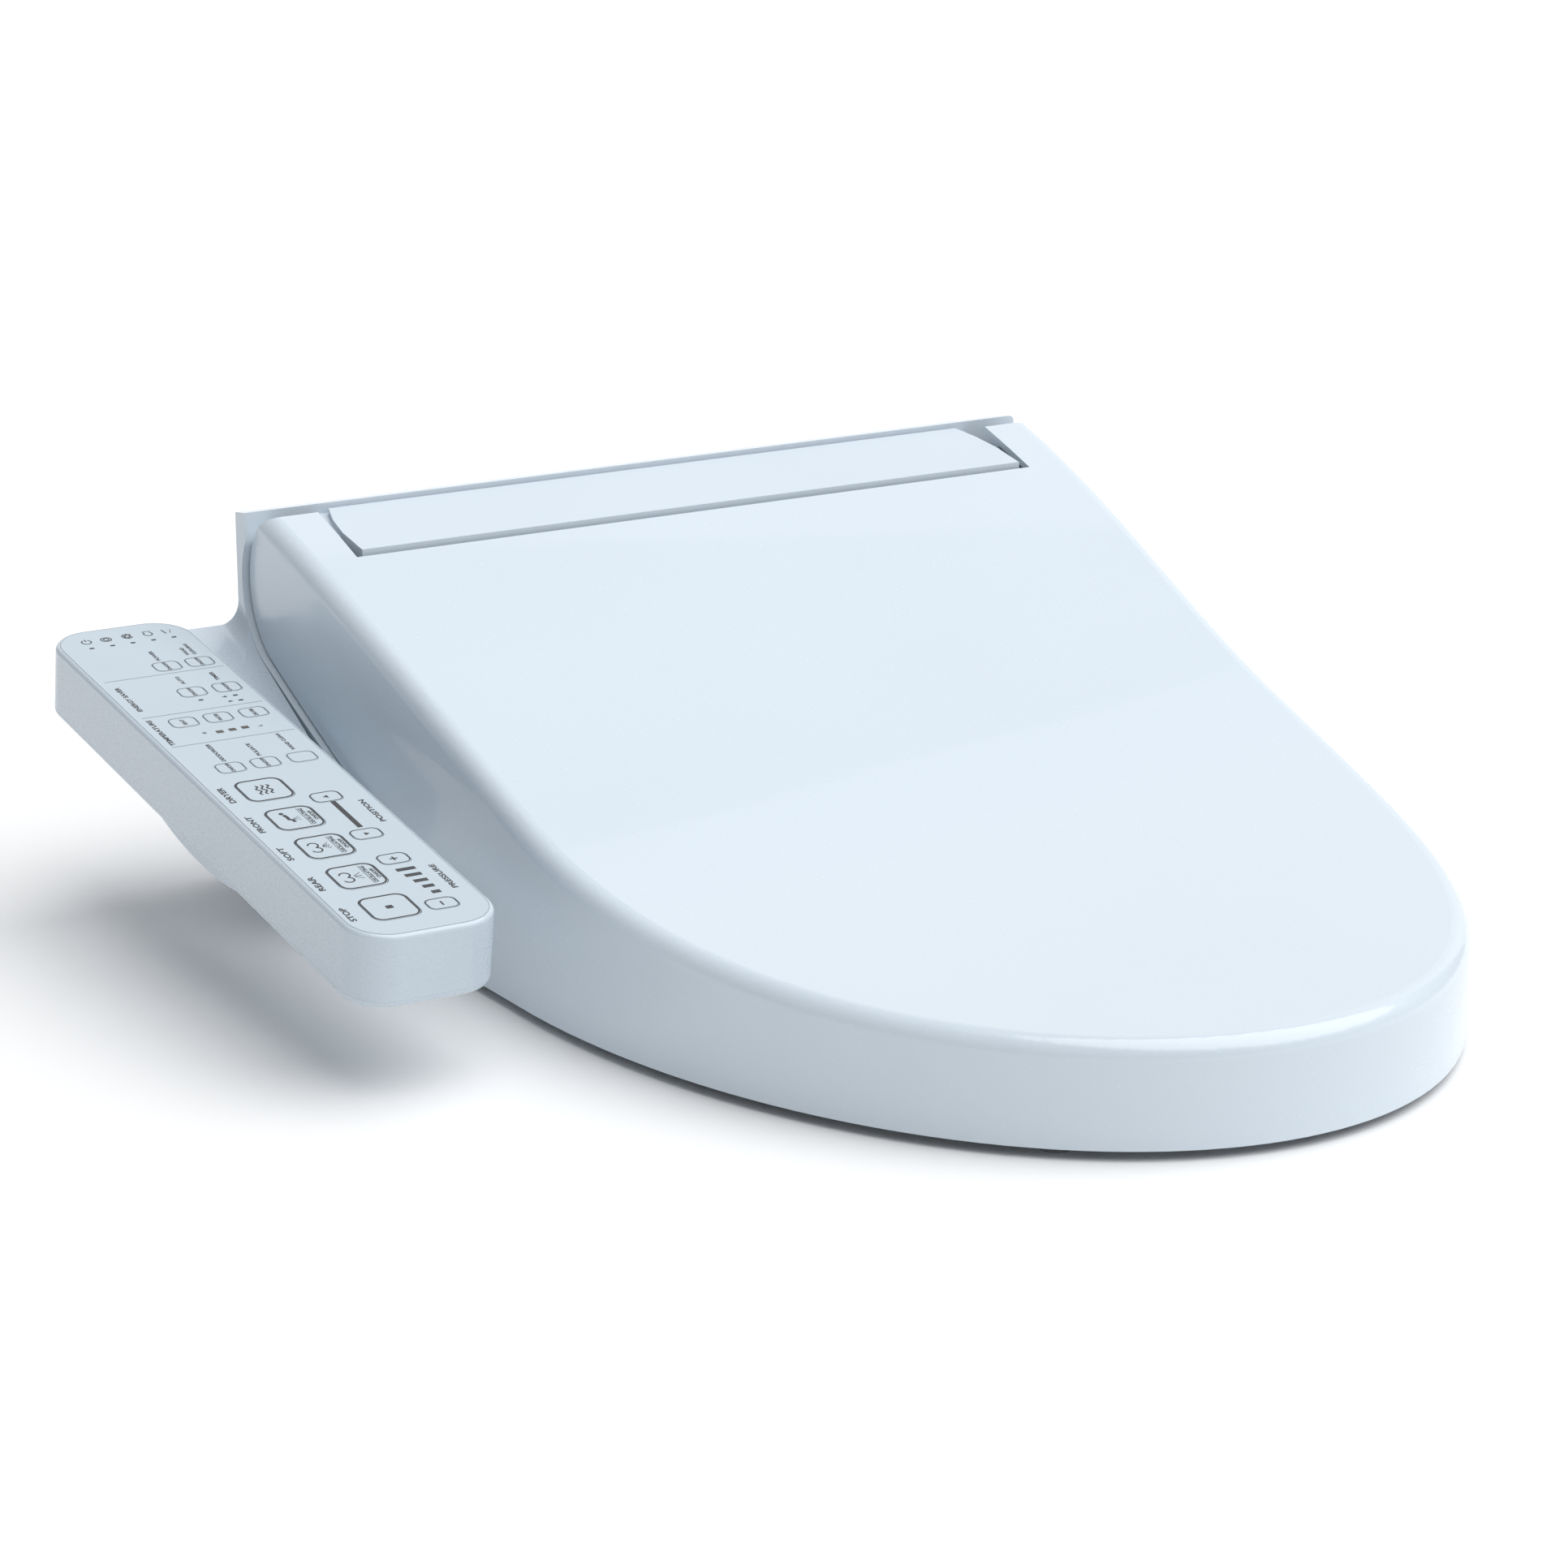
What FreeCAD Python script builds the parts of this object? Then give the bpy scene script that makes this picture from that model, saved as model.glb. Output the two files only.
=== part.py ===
import FreeCAD, Part
import math
import os

# Electric bidet seat, millimetres.  +Z up, -Y towards the front of the bowl, +X to the right of
# someone facing the bowl's front.  The origin is midway between the two bowl bolts, on the bowl's rim.

os.makedirs("parts", exist_ok=True)
V = FreeCAD.Vector

# ---- driving dimensions -------------------------------------------------------------------------
BASE_HALF = 201.7          # reach of the main unit to the left, where it carries the arm
BASE_RIGHT = 197.0         # reach to the right
BASE_REAR = 50.0           # rear face, from the bolt line
BASE_FRONT = -88.0         # front wall of the unit, behind the seat
BASE_BOTTOM = 1.5          # underside of the lower case; its cushions reach the rim
BASE_SPLIT = 60.0          # parting line of the two cases
HUMP_HALF = 168.5          # half width of the central housing between the hinge arms
WALL = 3.0

LID_HALF = 190.0           # half width of the lid where its front oval starts
LID_REAR_HALF = 198.5      # half width at the hinge
LID_OVAL_Y = -186.0        # where the front oval starts
LID_OVAL_LENGTH = 284.8    # oval's length towards the front
LID_BOTTOM = 4.4
LID_SKIN = 3.0
SKIN_DROP = LID_SKIN / math.cos(math.radians(20))   # the skin measured straight down
LID_TOP = [(28.6, 164.2), (-96.3, 118.7), (-221.2, 72.2), (-346.0, 51.4), (-470.9, 47.4)]
LID_EDGE_R = 8.0
NOTCH_HALF = 172.4         # the lid's notch round the central housing
NOTCH_FRONT = -10.5
ARM_ROUND = (8.0, 134.0, 36.0)   # centre y, z and radius of the lid arm's rounded rear end
ARM_SLOPE = 27.0           # slope of the arm's lower edge, degrees
ARM_FOOT_Y = -90.0         # where that edge turns down to the rim
ARM_FOOT_R = 25.0
LID_HUB_IN = 187.0         # inner face of the lid's hinge hubs

HINGE_Y = 20.0
HINGE_Z = 148.0
PIN_R = 4.0
RUNNING = 0.06             # radial running clearance
SEAT_HUB_R = 8.0
SEAT_ARM_IN = 173.5
SEAT_ARM_OUT = 185.0

SEAT_HALF = 184.0
SEAT_GAP = 6.7             # seat surface below the lid's outer surface
SEAT_BOTTOM = 8.0
SEAT_HOLE = (-262.0, 104.0, 128.0, 135.0)   # centre y, half width, reach forward, reach back
SEAT_WALL = 3.0
SEAT_REAR = -91.0
TUNNEL_HALF = 60.0         # passage under the seat's rear web for the wand and the dryer's air
TUNNEL_TOP = 54.0

COVER_FRONT = (-6.5, 154.3)
COVER_REAR = (38.5, 162.5)
COVER_THICK = 2.7
RIDGE = (40.5, 164.6)      # ridge behind the cover, and the height of the spine's rear edge
REAR_TOP = 163.2
CHEEK_TOP = 151.0          # top of the cheeks beside the lid's arms

PANEL_PITCH = 9.09         # the control panel tips down towards the front
PANEL_X = (-291.5, -228.5)
PANEL_REAR = 53.0
PANEL_LENGTH = 315.0
PANEL_TAIL = 1.0           # how far the arm reaches behind the panel's zero line
PANEL_DEPTH = 31.0
PANEL_TOP_Z = 118.5        # height of the panel's rear edge
PANEL_CORNER_R = 18.0
PANEL_RIM = 1.8
BELLY = (106.0, 208.0, 6.5)   # bulge under the arm: where it starts and ends, and its depth
BRIDGE_DEPTH = 26.0
OVERLAY_THICK = 0.8
DECK_THICK = 2.4
KEY_GAP = 0.35
SMALL_KEY = (11.5, 9.2, 2.6)
LARGE_KEY = (20.2, 20.1, 4.5)
STEP_KEY = (12.6, 9.0, 3.0)
KEYS = [
    ("power_key", SMALL_KEY, -254.7, 47.2),
    ("nozzle_rinse_key", SMALL_KEY, -239.7, 47.2),
    ("saver_auto_key", SMALL_KEY, -255.8, 76.0),
    ("saver_timer_key", SMALL_KEY, -240.0, 76.0),
    ("seat_heat_key", SMALL_KEY, -271.8, 103.8),
    ("water_heat_key", SMALL_KEY, -256.3, 103.8),
    ("dryer_heat_key", SMALL_KEY, -240.3, 103.8),
    ("deodorizer_key", SMALL_KEY, -272.3, 152.0),
    ("pulsate_key", SMALL_KEY, -256.8, 152.0),
    ("wand_out_key", SMALL_KEY, -240.4, 152.0),
    ("dryer_key", LARGE_KEY, -268.3, 176.3),
    ("front_wash_key", LARGE_KEY, -268.3, 205.2),
    ("soft_wash_key", LARGE_KEY, -268.3, 233.2),
    ("rear_wash_key", LARGE_KEY, -268.3, 262.1),
    ("stop_key", LARGE_KEY, -268.3, 291.1),
    ("wand_back_key", STEP_KEY, -248.0, 191.1),
    ("wand_forward_key", STEP_KEY, -248.0, 228.4),
    ("pressure_up_key", STEP_KEY, -248.0, 252.8),
    ("pressure_down_key", STEP_KEY, -248.0, 295.3),
]
LEDS = [(x, 18.8) for x in (-277.1, -267.6, -258.2, -248.7, -239.2)]
LEDS += [(-249.0, 85.0), (-244.0, 85.0), (-236.0, 85.0)]
LEDS += [(-262.0, 112.5), (-256.5, 112.5), (-251.0, 112.5)]

PLATE_HALF = 100.0         # mounting plate
PLATE_FRONT = -42.0
PLATE_REAR = 48.0
PLATE_THICK = 8.0
BOLT_SPACING = 140.0
SLOT_HALF_WIDTH = 4.5
SLOT_LENGTH = 24.0
RAIL_GAP = 0.6

WAND_SLOPE = 15.0
WAND_R = 7.0
WAND_LENGTH = 116.0
WAND_TIP = (-80.0, 36.0)   # y and z of the wand's front end at rest
RACK_HALF = 2.0
GEAR_MODULE = 1.0
PINION_TEETH = 14
PINION_ALONG = 60.0        # pinion's place along the wand, from its tip
BACKLASH = 0.25
RACK_LINE = WAND_R + 3.0   # pitch line of the rack above the wand's axis
PINION_R = GEAR_MODULE * PINION_TEETH / 2
WAND_TRAVEL = 90.0
GATE_Y = BASE_FRONT + 0.4
GATE_Z = 50.0              # height of the gate's pin
GATE_PIN_R = 1.0

BLOWER = (96.0, -22.0)     # axis of the dryer's blower
BLOWER_Z = (15.0, 47.0)
FILTER_Y = (-74.0, -38.0)
FILTER_Z = (15.0, 41.0)
FILTER_FACE = BASE_RIGHT - 3.4
FAN_Z = 29.0               # axis of the deodorizer's fan

INLET_Y = 18.0
INLET_Z = 30.0
INLET_R = 10.4             # G1/2 thread
INLET_BORE_R = 7.0
STRAINER_Y = -20.0
STRAINER_Z = 26.0
STRAINER_R = 9.0
GLAND_Y = 36.0
GLAND_Z = 48.0
GLAND_R = 6.5
TANK_AXIS = (-105.0, -21.0)
TANK_WALL = 3.5
COIL_R = 28.0
COIL_TUBE_R = 3.2
COIL_HEIGHTS = (30.0, 44.0, 58.0, 72.0)

SCREWS = [(-150, -60), (150, -60), (-150, 36), (150, 36), (-70, -72), (70, -72)]
SCREW_R = 1.6
SCREW_HEAD_R = 3.6
SCREW_TOP = 12.5
CUSHION_R = 8.0
CUSHIONS = [(-185, -60), (185, -60), (-185, 36), (185, 36), (-40, -75), (40, -75)]


# ---- helpers ------------------------------------------------------------------------------------
def box(x0, x1, y0, y1, z0, z1):
    return Part.makeBox(x1 - x0, y1 - y0, z1 - z0, V(x0, y0, z0))


def both_sides(shape):
    """The shape and its mirror image across the middle plane."""
    return shape.fuse(shape.mirror(V(0, 0, 0), V(1, 0, 0)))


def rod(start, direction, radius, length):
    return Part.makeCylinder(radius, length, V(*start), V(*direction))


def side_prism(points, x0, x1):
    """A closed outline of (y, z) points, drawn at x0 and swept to x1."""
    corners = [V(x0, y, z) for y, z in points]
    wire = Part.makePolygon(corners + corners[:1])
    return Part.Face(wire).extrude(V(x1 - x0, 0, 0))


def plan_prism(wire, z0, z1):
    wire.translate(V(0, 0, z0))
    return Part.Face(wire).extrude(V(0, 0, z1 - z0))


def fuse_all(shapes):
    whole = shapes[0]
    for shape in shapes[1:]:
        whole = whole.fuse(shape)
    return whole.removeSplitter()


def group(shapes):
    return Part.makeCompound(shapes)


def soften(shape, radius, chosen):
    """Round the edges that the test chooses."""
    edges = [edge for edge in shape.Edges if chosen(edge)]
    return shape.makeFillet(radius, edges) if edges else shape


def save(name, shape):
    print(name, "valid", shape.isValid(), "solids", len(shape.Solids), "volume", round(shape.Volume))
    shape.exportStep("parts/%s.step" % name)


# ---- shared outlines ----------------------------------------------------------------------------
def oval_outline(half, rear_half, front, rear_y):
    """Plan outline: half an ellipse in front, gently widening sides and a straight rear."""
    middle = V(0, LID_OVAL_Y, 0)
    ellipse = Part.Ellipse(V(0, front, 0), V(half, LID_OVAL_Y, 0), middle)
    nose = Part.Arc(ellipse, -math.pi / 2, math.pi / 2).toShape()
    corners = [vertex.Point for vertex in nose.Vertexes]
    right_start = max(corners, key=lambda p: p.x)
    left_start = min(corners, key=lambda p: p.x)
    right = Part.BSplineCurve()
    right.interpolate(Points=[right_start, V(rear_half, rear_y, 0)],
                      InitialTangent=V(0, 1, 0), FinalTangent=V(0, 1, 0))
    left = Part.BSplineCurve()
    left.interpolate(Points=[left_start, V(-rear_half, rear_y, 0)],
                     InitialTangent=V(0, 1, 0), FinalTangent=V(0, 1, 0))
    rear = Part.makeLine(V(-rear_half, rear_y, 0), V(rear_half, rear_y, 0))
    edges = Part.__sortEdges__([nose, right.toShape(), rear, left.toShape()])
    return Part.Wire(edges)


def lid_outline(inset, rear_y):
    front = LID_OVAL_Y - LID_OVAL_LENGTH + inset
    return oval_outline(LID_HALF - inset, LID_REAR_HALF - inset, front, rear_y)


def seat_outline(inset, rear_y):
    front = LID_OVAL_Y - LID_OVAL_LENGTH + SEAT_GAP + inset
    return oval_outline(SEAT_HALF - inset, SEAT_ARM_OUT - inset, front, rear_y)


def seat_hole(inset):
    """The seat's egg-shaped opening, smaller by the inset."""
    centre_y, half, forward, back = SEAT_HOLE
    middle = V(0, centre_y, 0)
    side = V(half - inset, centre_y, 0)
    front = Part.Ellipse(V(0, centre_y - forward + inset, 0), side, middle)
    rear = Part.Ellipse(V(0, centre_y + back - inset, 0), side, middle)
    arcs = [Part.Arc(oval, -math.pi / 2, math.pi / 2).toShape() for oval in (front, rear)]
    return Part.Wire(Part.__sortEdges__(arcs))


def lid_profile(drop):
    """Side-view curve of the lid's top, lowered by the drop."""
    curve = Part.BSplineCurve()
    curve.interpolate([V(0, y, z - drop) for y, z in LID_TOP])
    return curve


def under_profile(drop, bottom, half):
    """Everything below the lowered lid profile, down to the bottom, as wide as +-half."""
    curve = lid_profile(drop)
    rear, front = curve.StartPoint, curve.EndPoint
    slope = curve.tangent(curve.FirstParameter)[0]
    rear_end = rear - slope * (40.0 / abs(slope.y)) * (1 if slope.y < 0 else -1)
    front_end = front + V(0, -20.0, 0)
    corners = [front_end, V(0, front_end.y, bottom), V(0, rear_end.y, bottom), rear_end]
    lines = [Part.makeLine(a, b) for a, b in zip(corners, corners[1:])]
    lines += [Part.makeLine(rear_end, rear), Part.makeLine(front, front_end), curve.toShape()]
    wire = Part.Wire(Part.__sortEdges__(lines))
    wire.translate(V(-half, 0, 0))
    return Part.Face(wire).extrude(V(2 * half, 0, 0))


def cheek_region(gap, half):
    """Side-view region behind and below the lid's arms, held off them by the gap."""
    y, z, radius = ARM_ROUND
    radius += gap
    slope = math.radians(ARM_SLOPE)
    forward = V(0, -math.cos(slope), -math.sin(slope))
    tangent = V(0, y + radius * math.sin(slope), z - radius * math.cos(slope))
    foot_y = ARM_FOOT_Y + gap
    corner = tangent + forward * ((tangent.y - foot_y) / math.cos(slope))
    bend = ARM_FOOT_R * math.tan((math.pi / 2 - slope) / 2)
    bend_start = corner - forward * bend
    bend_end = corner - V(0, 0, bend)
    bend_centre = bend_end + V(0, ARM_FOOT_R, 0)
    towards = (corner - bend_centre).normalize()
    top = V(0, y + radius * 0.5, z + radius * math.sqrt(0.75))
    corners = [top, V(0, top.y, 200), V(0, BASE_REAR + 20, 200), V(0, BASE_REAR + 20, -10),
               V(0, foot_y, -10), bend_end]
    edges = [Part.makeLine(a, b) for a, b in zip(corners, corners[1:])]
    edges.append(Part.Arc(bend_end, bend_centre + towards * ARM_FOOT_R, bend_start).toShape())
    edges.append(Part.makeLine(bend_start, tangent))
    edges.append(Part.Arc(tangent, V(0, y + radius, z), top).toShape())
    wire = Part.Wire(Part.__sortEdges__(edges))
    wire.translate(V(-half, 0, 0))
    return Part.Face(wire).extrude(V(2 * half, 0, 0))


def on_lid_profile(edge, drop):
    """True for a long edge that runs along the lid profile."""
    if edge.BoundBox.YLength < 50:
        return False
    curve = lid_profile(drop)
    for share in (0.2, 0.5, 0.8):
        point = edge.valueAt(edge.FirstParameter + share * (edge.LastParameter - edge.FirstParameter))
        flat = V(0, point.y, point.z)
        if curve.value(curve.parameter(flat)).distanceToPoint(flat) > 0.5 and point.y < LID_TOP[0][0]:
            return False
    return True


# ---- lid ----------------------------------------------------------------------------------------
def make_lid_shell():
    rear_y = ARM_ROUND[0] + ARM_ROUND[2] + 1
    outer = plan_prism(lid_outline(0, rear_y), LID_BOTTOM, 200)
    outer = outer.common(under_profile(0, LID_BOTTOM, 250))
    outer = soften(outer, LID_EDGE_R, lambda edge: on_lid_profile(edge, 0))
    outer = outer.cut(cheek_region(0, 250))
    hollow = plan_prism(lid_outline(LID_SKIN, rear_y + 20), LID_BOTTOM - 1, 200)
    hollow = hollow.common(under_profile(SKIN_DROP, LID_BOTTOM - 1, 250))
    hollow = soften(hollow, LID_EDGE_R - LID_SKIN, lambda edge: on_lid_profile(edge, SKIN_DROP))
    hubs = both_sides(box(LID_HUB_IN, 220, -12, 80, 0, 200))
    shell = outer.cut(hollow.cut(hubs))
    shell = shell.cut(box(-NOTCH_HALF, NOTCH_HALF, NOTCH_FRONT, 80, 90, 220))
    bores = both_sides(rod((LID_HUB_IN - 1, HINGE_Y, HINGE_Z), (1, 0, 0), PIN_R + RUNNING, 10))
    return shell.cut(bores)


def make_lid_bumpers():
    """Rubber pads under the lid that meet the seat when it closes."""
    pads = []
    for x, y in ((95, -405), (150, -225)):
        pad = rod((x, y, 20), (0, 0, 1), 7.0, 80)
        above = under_profile(SKIN_DROP, 0, 250)
        below = under_profile(SEAT_GAP - 0.4, 0, 250)
        pads.append(pad.common(above).cut(below))
    return group([side for pad in pads for side in (pad, pad.mirror(V(0, 0, 0), V(1, 0, 0)))])


# ---- seat ---------------------------------------------------------------------------------------
def seat_envelope(inset, bottom):
    """The seat's ring and arms, smaller by the inset on every side."""
    solid = plan_prism(seat_outline(inset, 60), bottom, 200)
    solid = solid.common(under_profile(SEAT_GAP + inset, bottom, 250))
    solid = solid.cut(plan_prism(seat_hole(-inset), 0, 200))
    return solid


def make_seat_top_shell():
    solid = seat_envelope(0, SEAT_BOTTOM)
    solid = soften(solid, 9.0, lambda edge: on_lid_profile(edge, SEAT_GAP))
    solid = solid.cut(cheek_region(-2.0, 250))
    solid = solid.cut(box(-SEAT_ARM_IN, SEAT_ARM_IN, SEAT_REAR, 90, 0, 220))
    solid = solid.cut(box(-250, 250, HINGE_Y + 2, 90, 0, 220))
    hub = rod((SEAT_ARM_IN, HINGE_Y, HINGE_Z), (1, 0, 0), SEAT_HUB_R, SEAT_ARM_OUT - SEAT_ARM_IN)
    solid = solid.fuse(both_sides(hub))
    bore = rod((SEAT_ARM_IN - 1, HINGE_Y, HINGE_Z), (1, 0, 0), PIN_R + RUNNING, 20)
    solid = solid.cut(both_sides(bore))
    solid = solid.cut(box(-TUNNEL_HALF, TUNNEL_HALF, -145, -80, 0, TUNNEL_TOP))
    hollow = seat_envelope(SEAT_WALL, SEAT_BOTTOM - 1)
    hollow = hollow.cut(box(-250, 250, SEAT_REAR - SEAT_WALL - 2, 90, 0, 220))
    keep = TUNNEL_HALF + SEAT_WALL
    hollow = hollow.cut(box(-keep, keep, -148, -80, 0, TUNNEL_TOP + SEAT_WALL))
    return solid.cut(hollow)


def make_seat_bottom_shell():
    ring = plan_prism(seat_outline(SEAT_WALL, 60), SEAT_BOTTOM, SEAT_BOTTOM + 3)
    ring = ring.cut(plan_prism(seat_hole(-SEAT_WALL), 0, 200))
    ring = ring.cut(box(-250, 250, SEAT_REAR - SEAT_WALL - 2, 90, 0, 220))
    keep = TUNNEL_HALF + SEAT_WALL
    return ring.cut(box(-keep, keep, -148, -80, 0, 40))


def make_seat_heater():
    """Heating film bonded under the seat's top."""
    ring = plan_prism(seat_outline(10, 60), SEAT_BOTTOM, 200)
    ring = ring.cut(plan_prism(seat_hole(-10), 0, 200))
    ring = ring.cut(box(-250, 250, -150, 90, 0, 220))
    top = SEAT_GAP + SEAT_WALL
    return ring.common(under_profile(top, SEAT_BOTTOM, 250)).cut(under_profile(top + 0.8, 0, 250))


def make_seat_bumpers():
    """Rubber feet that carry the seat on the bowl's rim."""
    feet = []
    for x, y in ((85, -420), (150, -230)):
        foot = Part.makeCone(8.0, 10.0, SEAT_BOTTOM, V(x, y, 0), V(0, 0, 1))
        feet += [foot, foot.mirror(V(0, 0, 0), V(1, 0, 0))]
    return group(feet)


# ---- main unit ----------------------------------------------------------------------------------
def hump_profile(inset):
    """Side-view outline of the central housing."""
    points = [(BASE_REAR, BASE_BOTTOM), (BASE_REAR, REAR_TOP), RIDGE, (RIDGE[0], 160.0),
              (COVER_REAR[0], COVER_REAR[1] - COVER_THICK),
              (COVER_FRONT[0], COVER_FRONT[1] - COVER_THICK),
              (COVER_FRONT[0], 141.6), (BASE_FRONT, 111.6), (BASE_FRONT, BASE_BOTTOM)]
    corners = [V(0, y, z) for y, z in points]
    face = Part.Face(Part.makePolygon(corners + corners[:1]))
    return face.makeOffset2D(-inset) if inset else face


def base_envelope(inset):
    """The whole main unit, smaller by the inset on every side."""
    half = HUMP_HALF - inset
    hump = hump_profile(inset)
    hump.translate(V(-half, 0, 0))
    hump = hump.extrude(V(2 * half, 0, 0))
    width = BASE_HALF - inset
    cheeks = cheek_region(1.2 + inset, 300)
    plan = plan_prism(oval_outline(LID_HALF + 1.7 - inset, width, -400, BASE_REAR - inset), 0, 200)
    cheeks = cheeks.common(plan)
    ridge = RIDGE[1] - inset
    shoulder = RIDGE[0] + inset
    top = [(BASE_REAR + 1, BASE_BOTTOM + inset), (BASE_REAR + 1, REAR_TOP - 0.15 - inset),
           (RIDGE[0], ridge), (shoulder, ridge), (shoulder, CHEEK_TOP), (-120, CHEEK_TOP),
           (-120, BASE_BOTTOM + inset)]
    cheeks = cheeks.common(side_prism(top, -300, 300))
    right = box(BASE_RIGHT - inset, 300, -200, 200, -10, 300)
    return hump.fuse(cheeks.cut(right)).removeSplitter()


def base_shell():
    return base_envelope(0).cut(base_envelope(WALL))


def make_upper_case(shell):
    upper = shell.common(box(-300, 300, -200, 200, BASE_SPLIT, 220))
    right_top = [edge for edge in upper.Edges
                 if edge.BoundBox.XMin > BASE_RIGHT - 0.1 and edge.BoundBox.ZMin > 160]
    upper = upper.makeFillet(2.5, right_top)
    # pocket for the dampers, closed by the cover plate
    upper = upper.cut(box(-152, 152, -2.5, 36.5, 143, 175))
    boss = rod((150, HINGE_Y, HINGE_Z), (1, 0, 0), 7.0, HUMP_HALF - 150)
    upper = upper.fuse(both_sides(boss))
    bore = rod((140, HINGE_Y, HINGE_Z), (1, 0, 0), PIN_R, 40)
    return upper.cut(both_sides(bore))


def make_lower_case(shell):
    lower = shell.common(box(-300, 300, -200, 200, 0, BASE_SPLIT))
    rail = PLATE_HALF + 5
    block = box(-rail - 6, rail + 6, PLATE_FRONT - 6, BASE_REAR, BASE_BOTTOM, PLATE_THICK + 4)
    lower = lower.fuse(block)
    lower = lower.cut(plate_space())
    # wand and dryer openings in the front wall
    lower = lower.cut(box(-17, 17, BASE_FRONT - 1, BASE_FRONT + WALL + 1, 12, 53.5))
    lower = lower.fuse(rod((-19.5, GATE_Y + 1.6, GATE_Z), (1, 0, 0), GATE_PIN_R, 39))
    lower = lower.cut(box(33, 59, BASE_FRONT - 1, BASE_FRONT + WALL + 1, 20, 42))
    # filter slot and release button on the right, water inlet, strainer and gland on the left
    lower = lower.cut(box(188, 210, FILTER_Y[0] - 0.4, FILTER_Y[1] + 0.4, FILTER_Z[0] - 0.4, FILTER_Z[1] + 0.4))
    lower = lower.cut(box(188, 210, 9.6, 30.4, 13.6, 26.4))
    lower = lower.cut(rod((-190, INLET_Y, INLET_Z), (-1, 0, 0), INLET_R, 30))
    lower = lower.cut(rod((-190, STRAINER_Y, STRAINER_Z), (-1, 0, 0), STRAINER_R, 30))
    lower = lower.cut(rod((-190, GLAND_Y, GLAND_Z), (-1, 0, 0), GLAND_R, 30))
    for x, y in SCREWS:
        lower = lower.fuse(rod((x, y, BASE_BOTTOM), (0, 0, 1), 5.0, SCREW_TOP + 1 - BASE_BOTTOM))
        lower = lower.cut(rod((x, y, 0), (0, 0, 1), 4.2, BASE_BOTTOM + 2.5))
        lower = lower.cut(rod((x, y, 0), (0, 0, 1), SCREW_R, SCREW_TOP))
    for x, y in CUSHIONS:
        lower = lower.cut(rod((x, y, 0), (0, 0, 1), CUSHION_R, BASE_BOTTOM + 1.5))
    return lower.removeSplitter()


def make_cover_plate():
    """Cover over the hinge dampers, proud of the lid, with ends that curve in towards the rear."""
    y0, z0 = COVER_FRONT
    y1, z1 = COVER_REAR
    plate = side_prism([(y0, z0 - COVER_THICK), (y0, z0), (y1, z1), (y1, z1 - COVER_THICK)],
                       -HUMP_HALF, HUMP_HALF)
    plate = plate.fuse(box(-HUMP_HALF, HUMP_HALF, y0 - 1.2, y0, z0 - 7.0, z0 - 0.1))
    for sign in (-1, 1):
        end = [V(sign * HUMP_HALF, 12, 140), V(sign * (HUMP_HALF + 5), 12, 140),
               V(sign * (HUMP_HALF + 5), 60, 140), V(sign * (HUMP_HALF - 9), 60, 140),
               V(sign * (HUMP_HALF - 6), 38.5, 140), V(sign * (HUMP_HALF - 2.2), 26, 140)]
        plate = plate.cut(Part.Face(Part.makePolygon(end + end[:1])).extrude(V(0, 0, 40)))
    return plate.removeSplitter()


# ---- hinge parts --------------------------------------------------------------------------------
def make_hinge_pins():
    pin = rod((150, HINGE_Y, HINGE_Z), (1, 0, 0), PIN_R, 45.5)
    return group([pin, pin.mirror(V(0, 0, 0), V(1, 0, 0))])


def make_damper(x0, x1):
    """One of the two rotary oil dampers: a cylinder with a stepped end and two ears."""
    body = rod((x0, HINGE_Y, HINGE_Z), (1, 0, 0), 7.4, x1 - x0)
    nose = rod((x1 if x0 > 0 else x0 - 6, HINGE_Y, HINGE_Z), (1, 0, 0), 5.0, 6)
    ears = box(x0 + 8, x0 + 13, HINGE_Y - 11, HINGE_Y + 11, HINGE_Z - 4, HINGE_Z + 1)
    return fuse_all([body, nose, ears])


# ---- mounting -----------------------------------------------------------------------------------
def plate_space():
    """The room that the mounting plate slides in, open at the rear."""
    gap = RAIL_GAP
    body = box(-PLATE_HALF - gap, PLATE_HALF + gap, PLATE_FRONT - gap, BASE_REAR + 1, -1, PLATE_THICK + gap)
    wide = PLATE_HALF + 5 + gap
    groove = box(-wide, wide, PLATE_FRONT - gap, BASE_REAR + 1, 3.5 - gap, 6.5 + gap)
    return body.fuse(groove)


def make_mounting_plate():
    plate = box(-PLATE_HALF, PLATE_HALF, PLATE_FRONT, PLATE_REAR, 0, PLATE_THICK)
    flange = box(-PLATE_HALF - 5, PLATE_HALF + 5, PLATE_FRONT, PLATE_REAR, 3.5, 6.5)
    plate = plate.fuse(flange)
    for sign in (-1, 1):
        x = sign * BOLT_SPACING / 2
        reach = SLOT_LENGTH / 2 - SLOT_HALF_WIDTH
        slot = box(x - reach, x + reach, -SLOT_HALF_WIDTH, SLOT_HALF_WIDTH, -1, 20)
        for end in (x - reach, x + reach):
            slot = slot.fuse(rod((end, 0, -1), (0, 0, 1), SLOT_HALF_WIDTH, 21))
        pocket = box(x - 17, x + 17, -13, 13, 4, 20)
        plate = plate.cut(pocket).cut(slot)
    plate = plate.cut(box(-40, 40, -32, 38, 3, 20))
    return plate.removeSplitter()


def make_base_cushions():
    return group([rod((x, y, 0), (0, 0, 1), CUSHION_R, BASE_BOTTOM + 1.5) for x, y in CUSHIONS])


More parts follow.
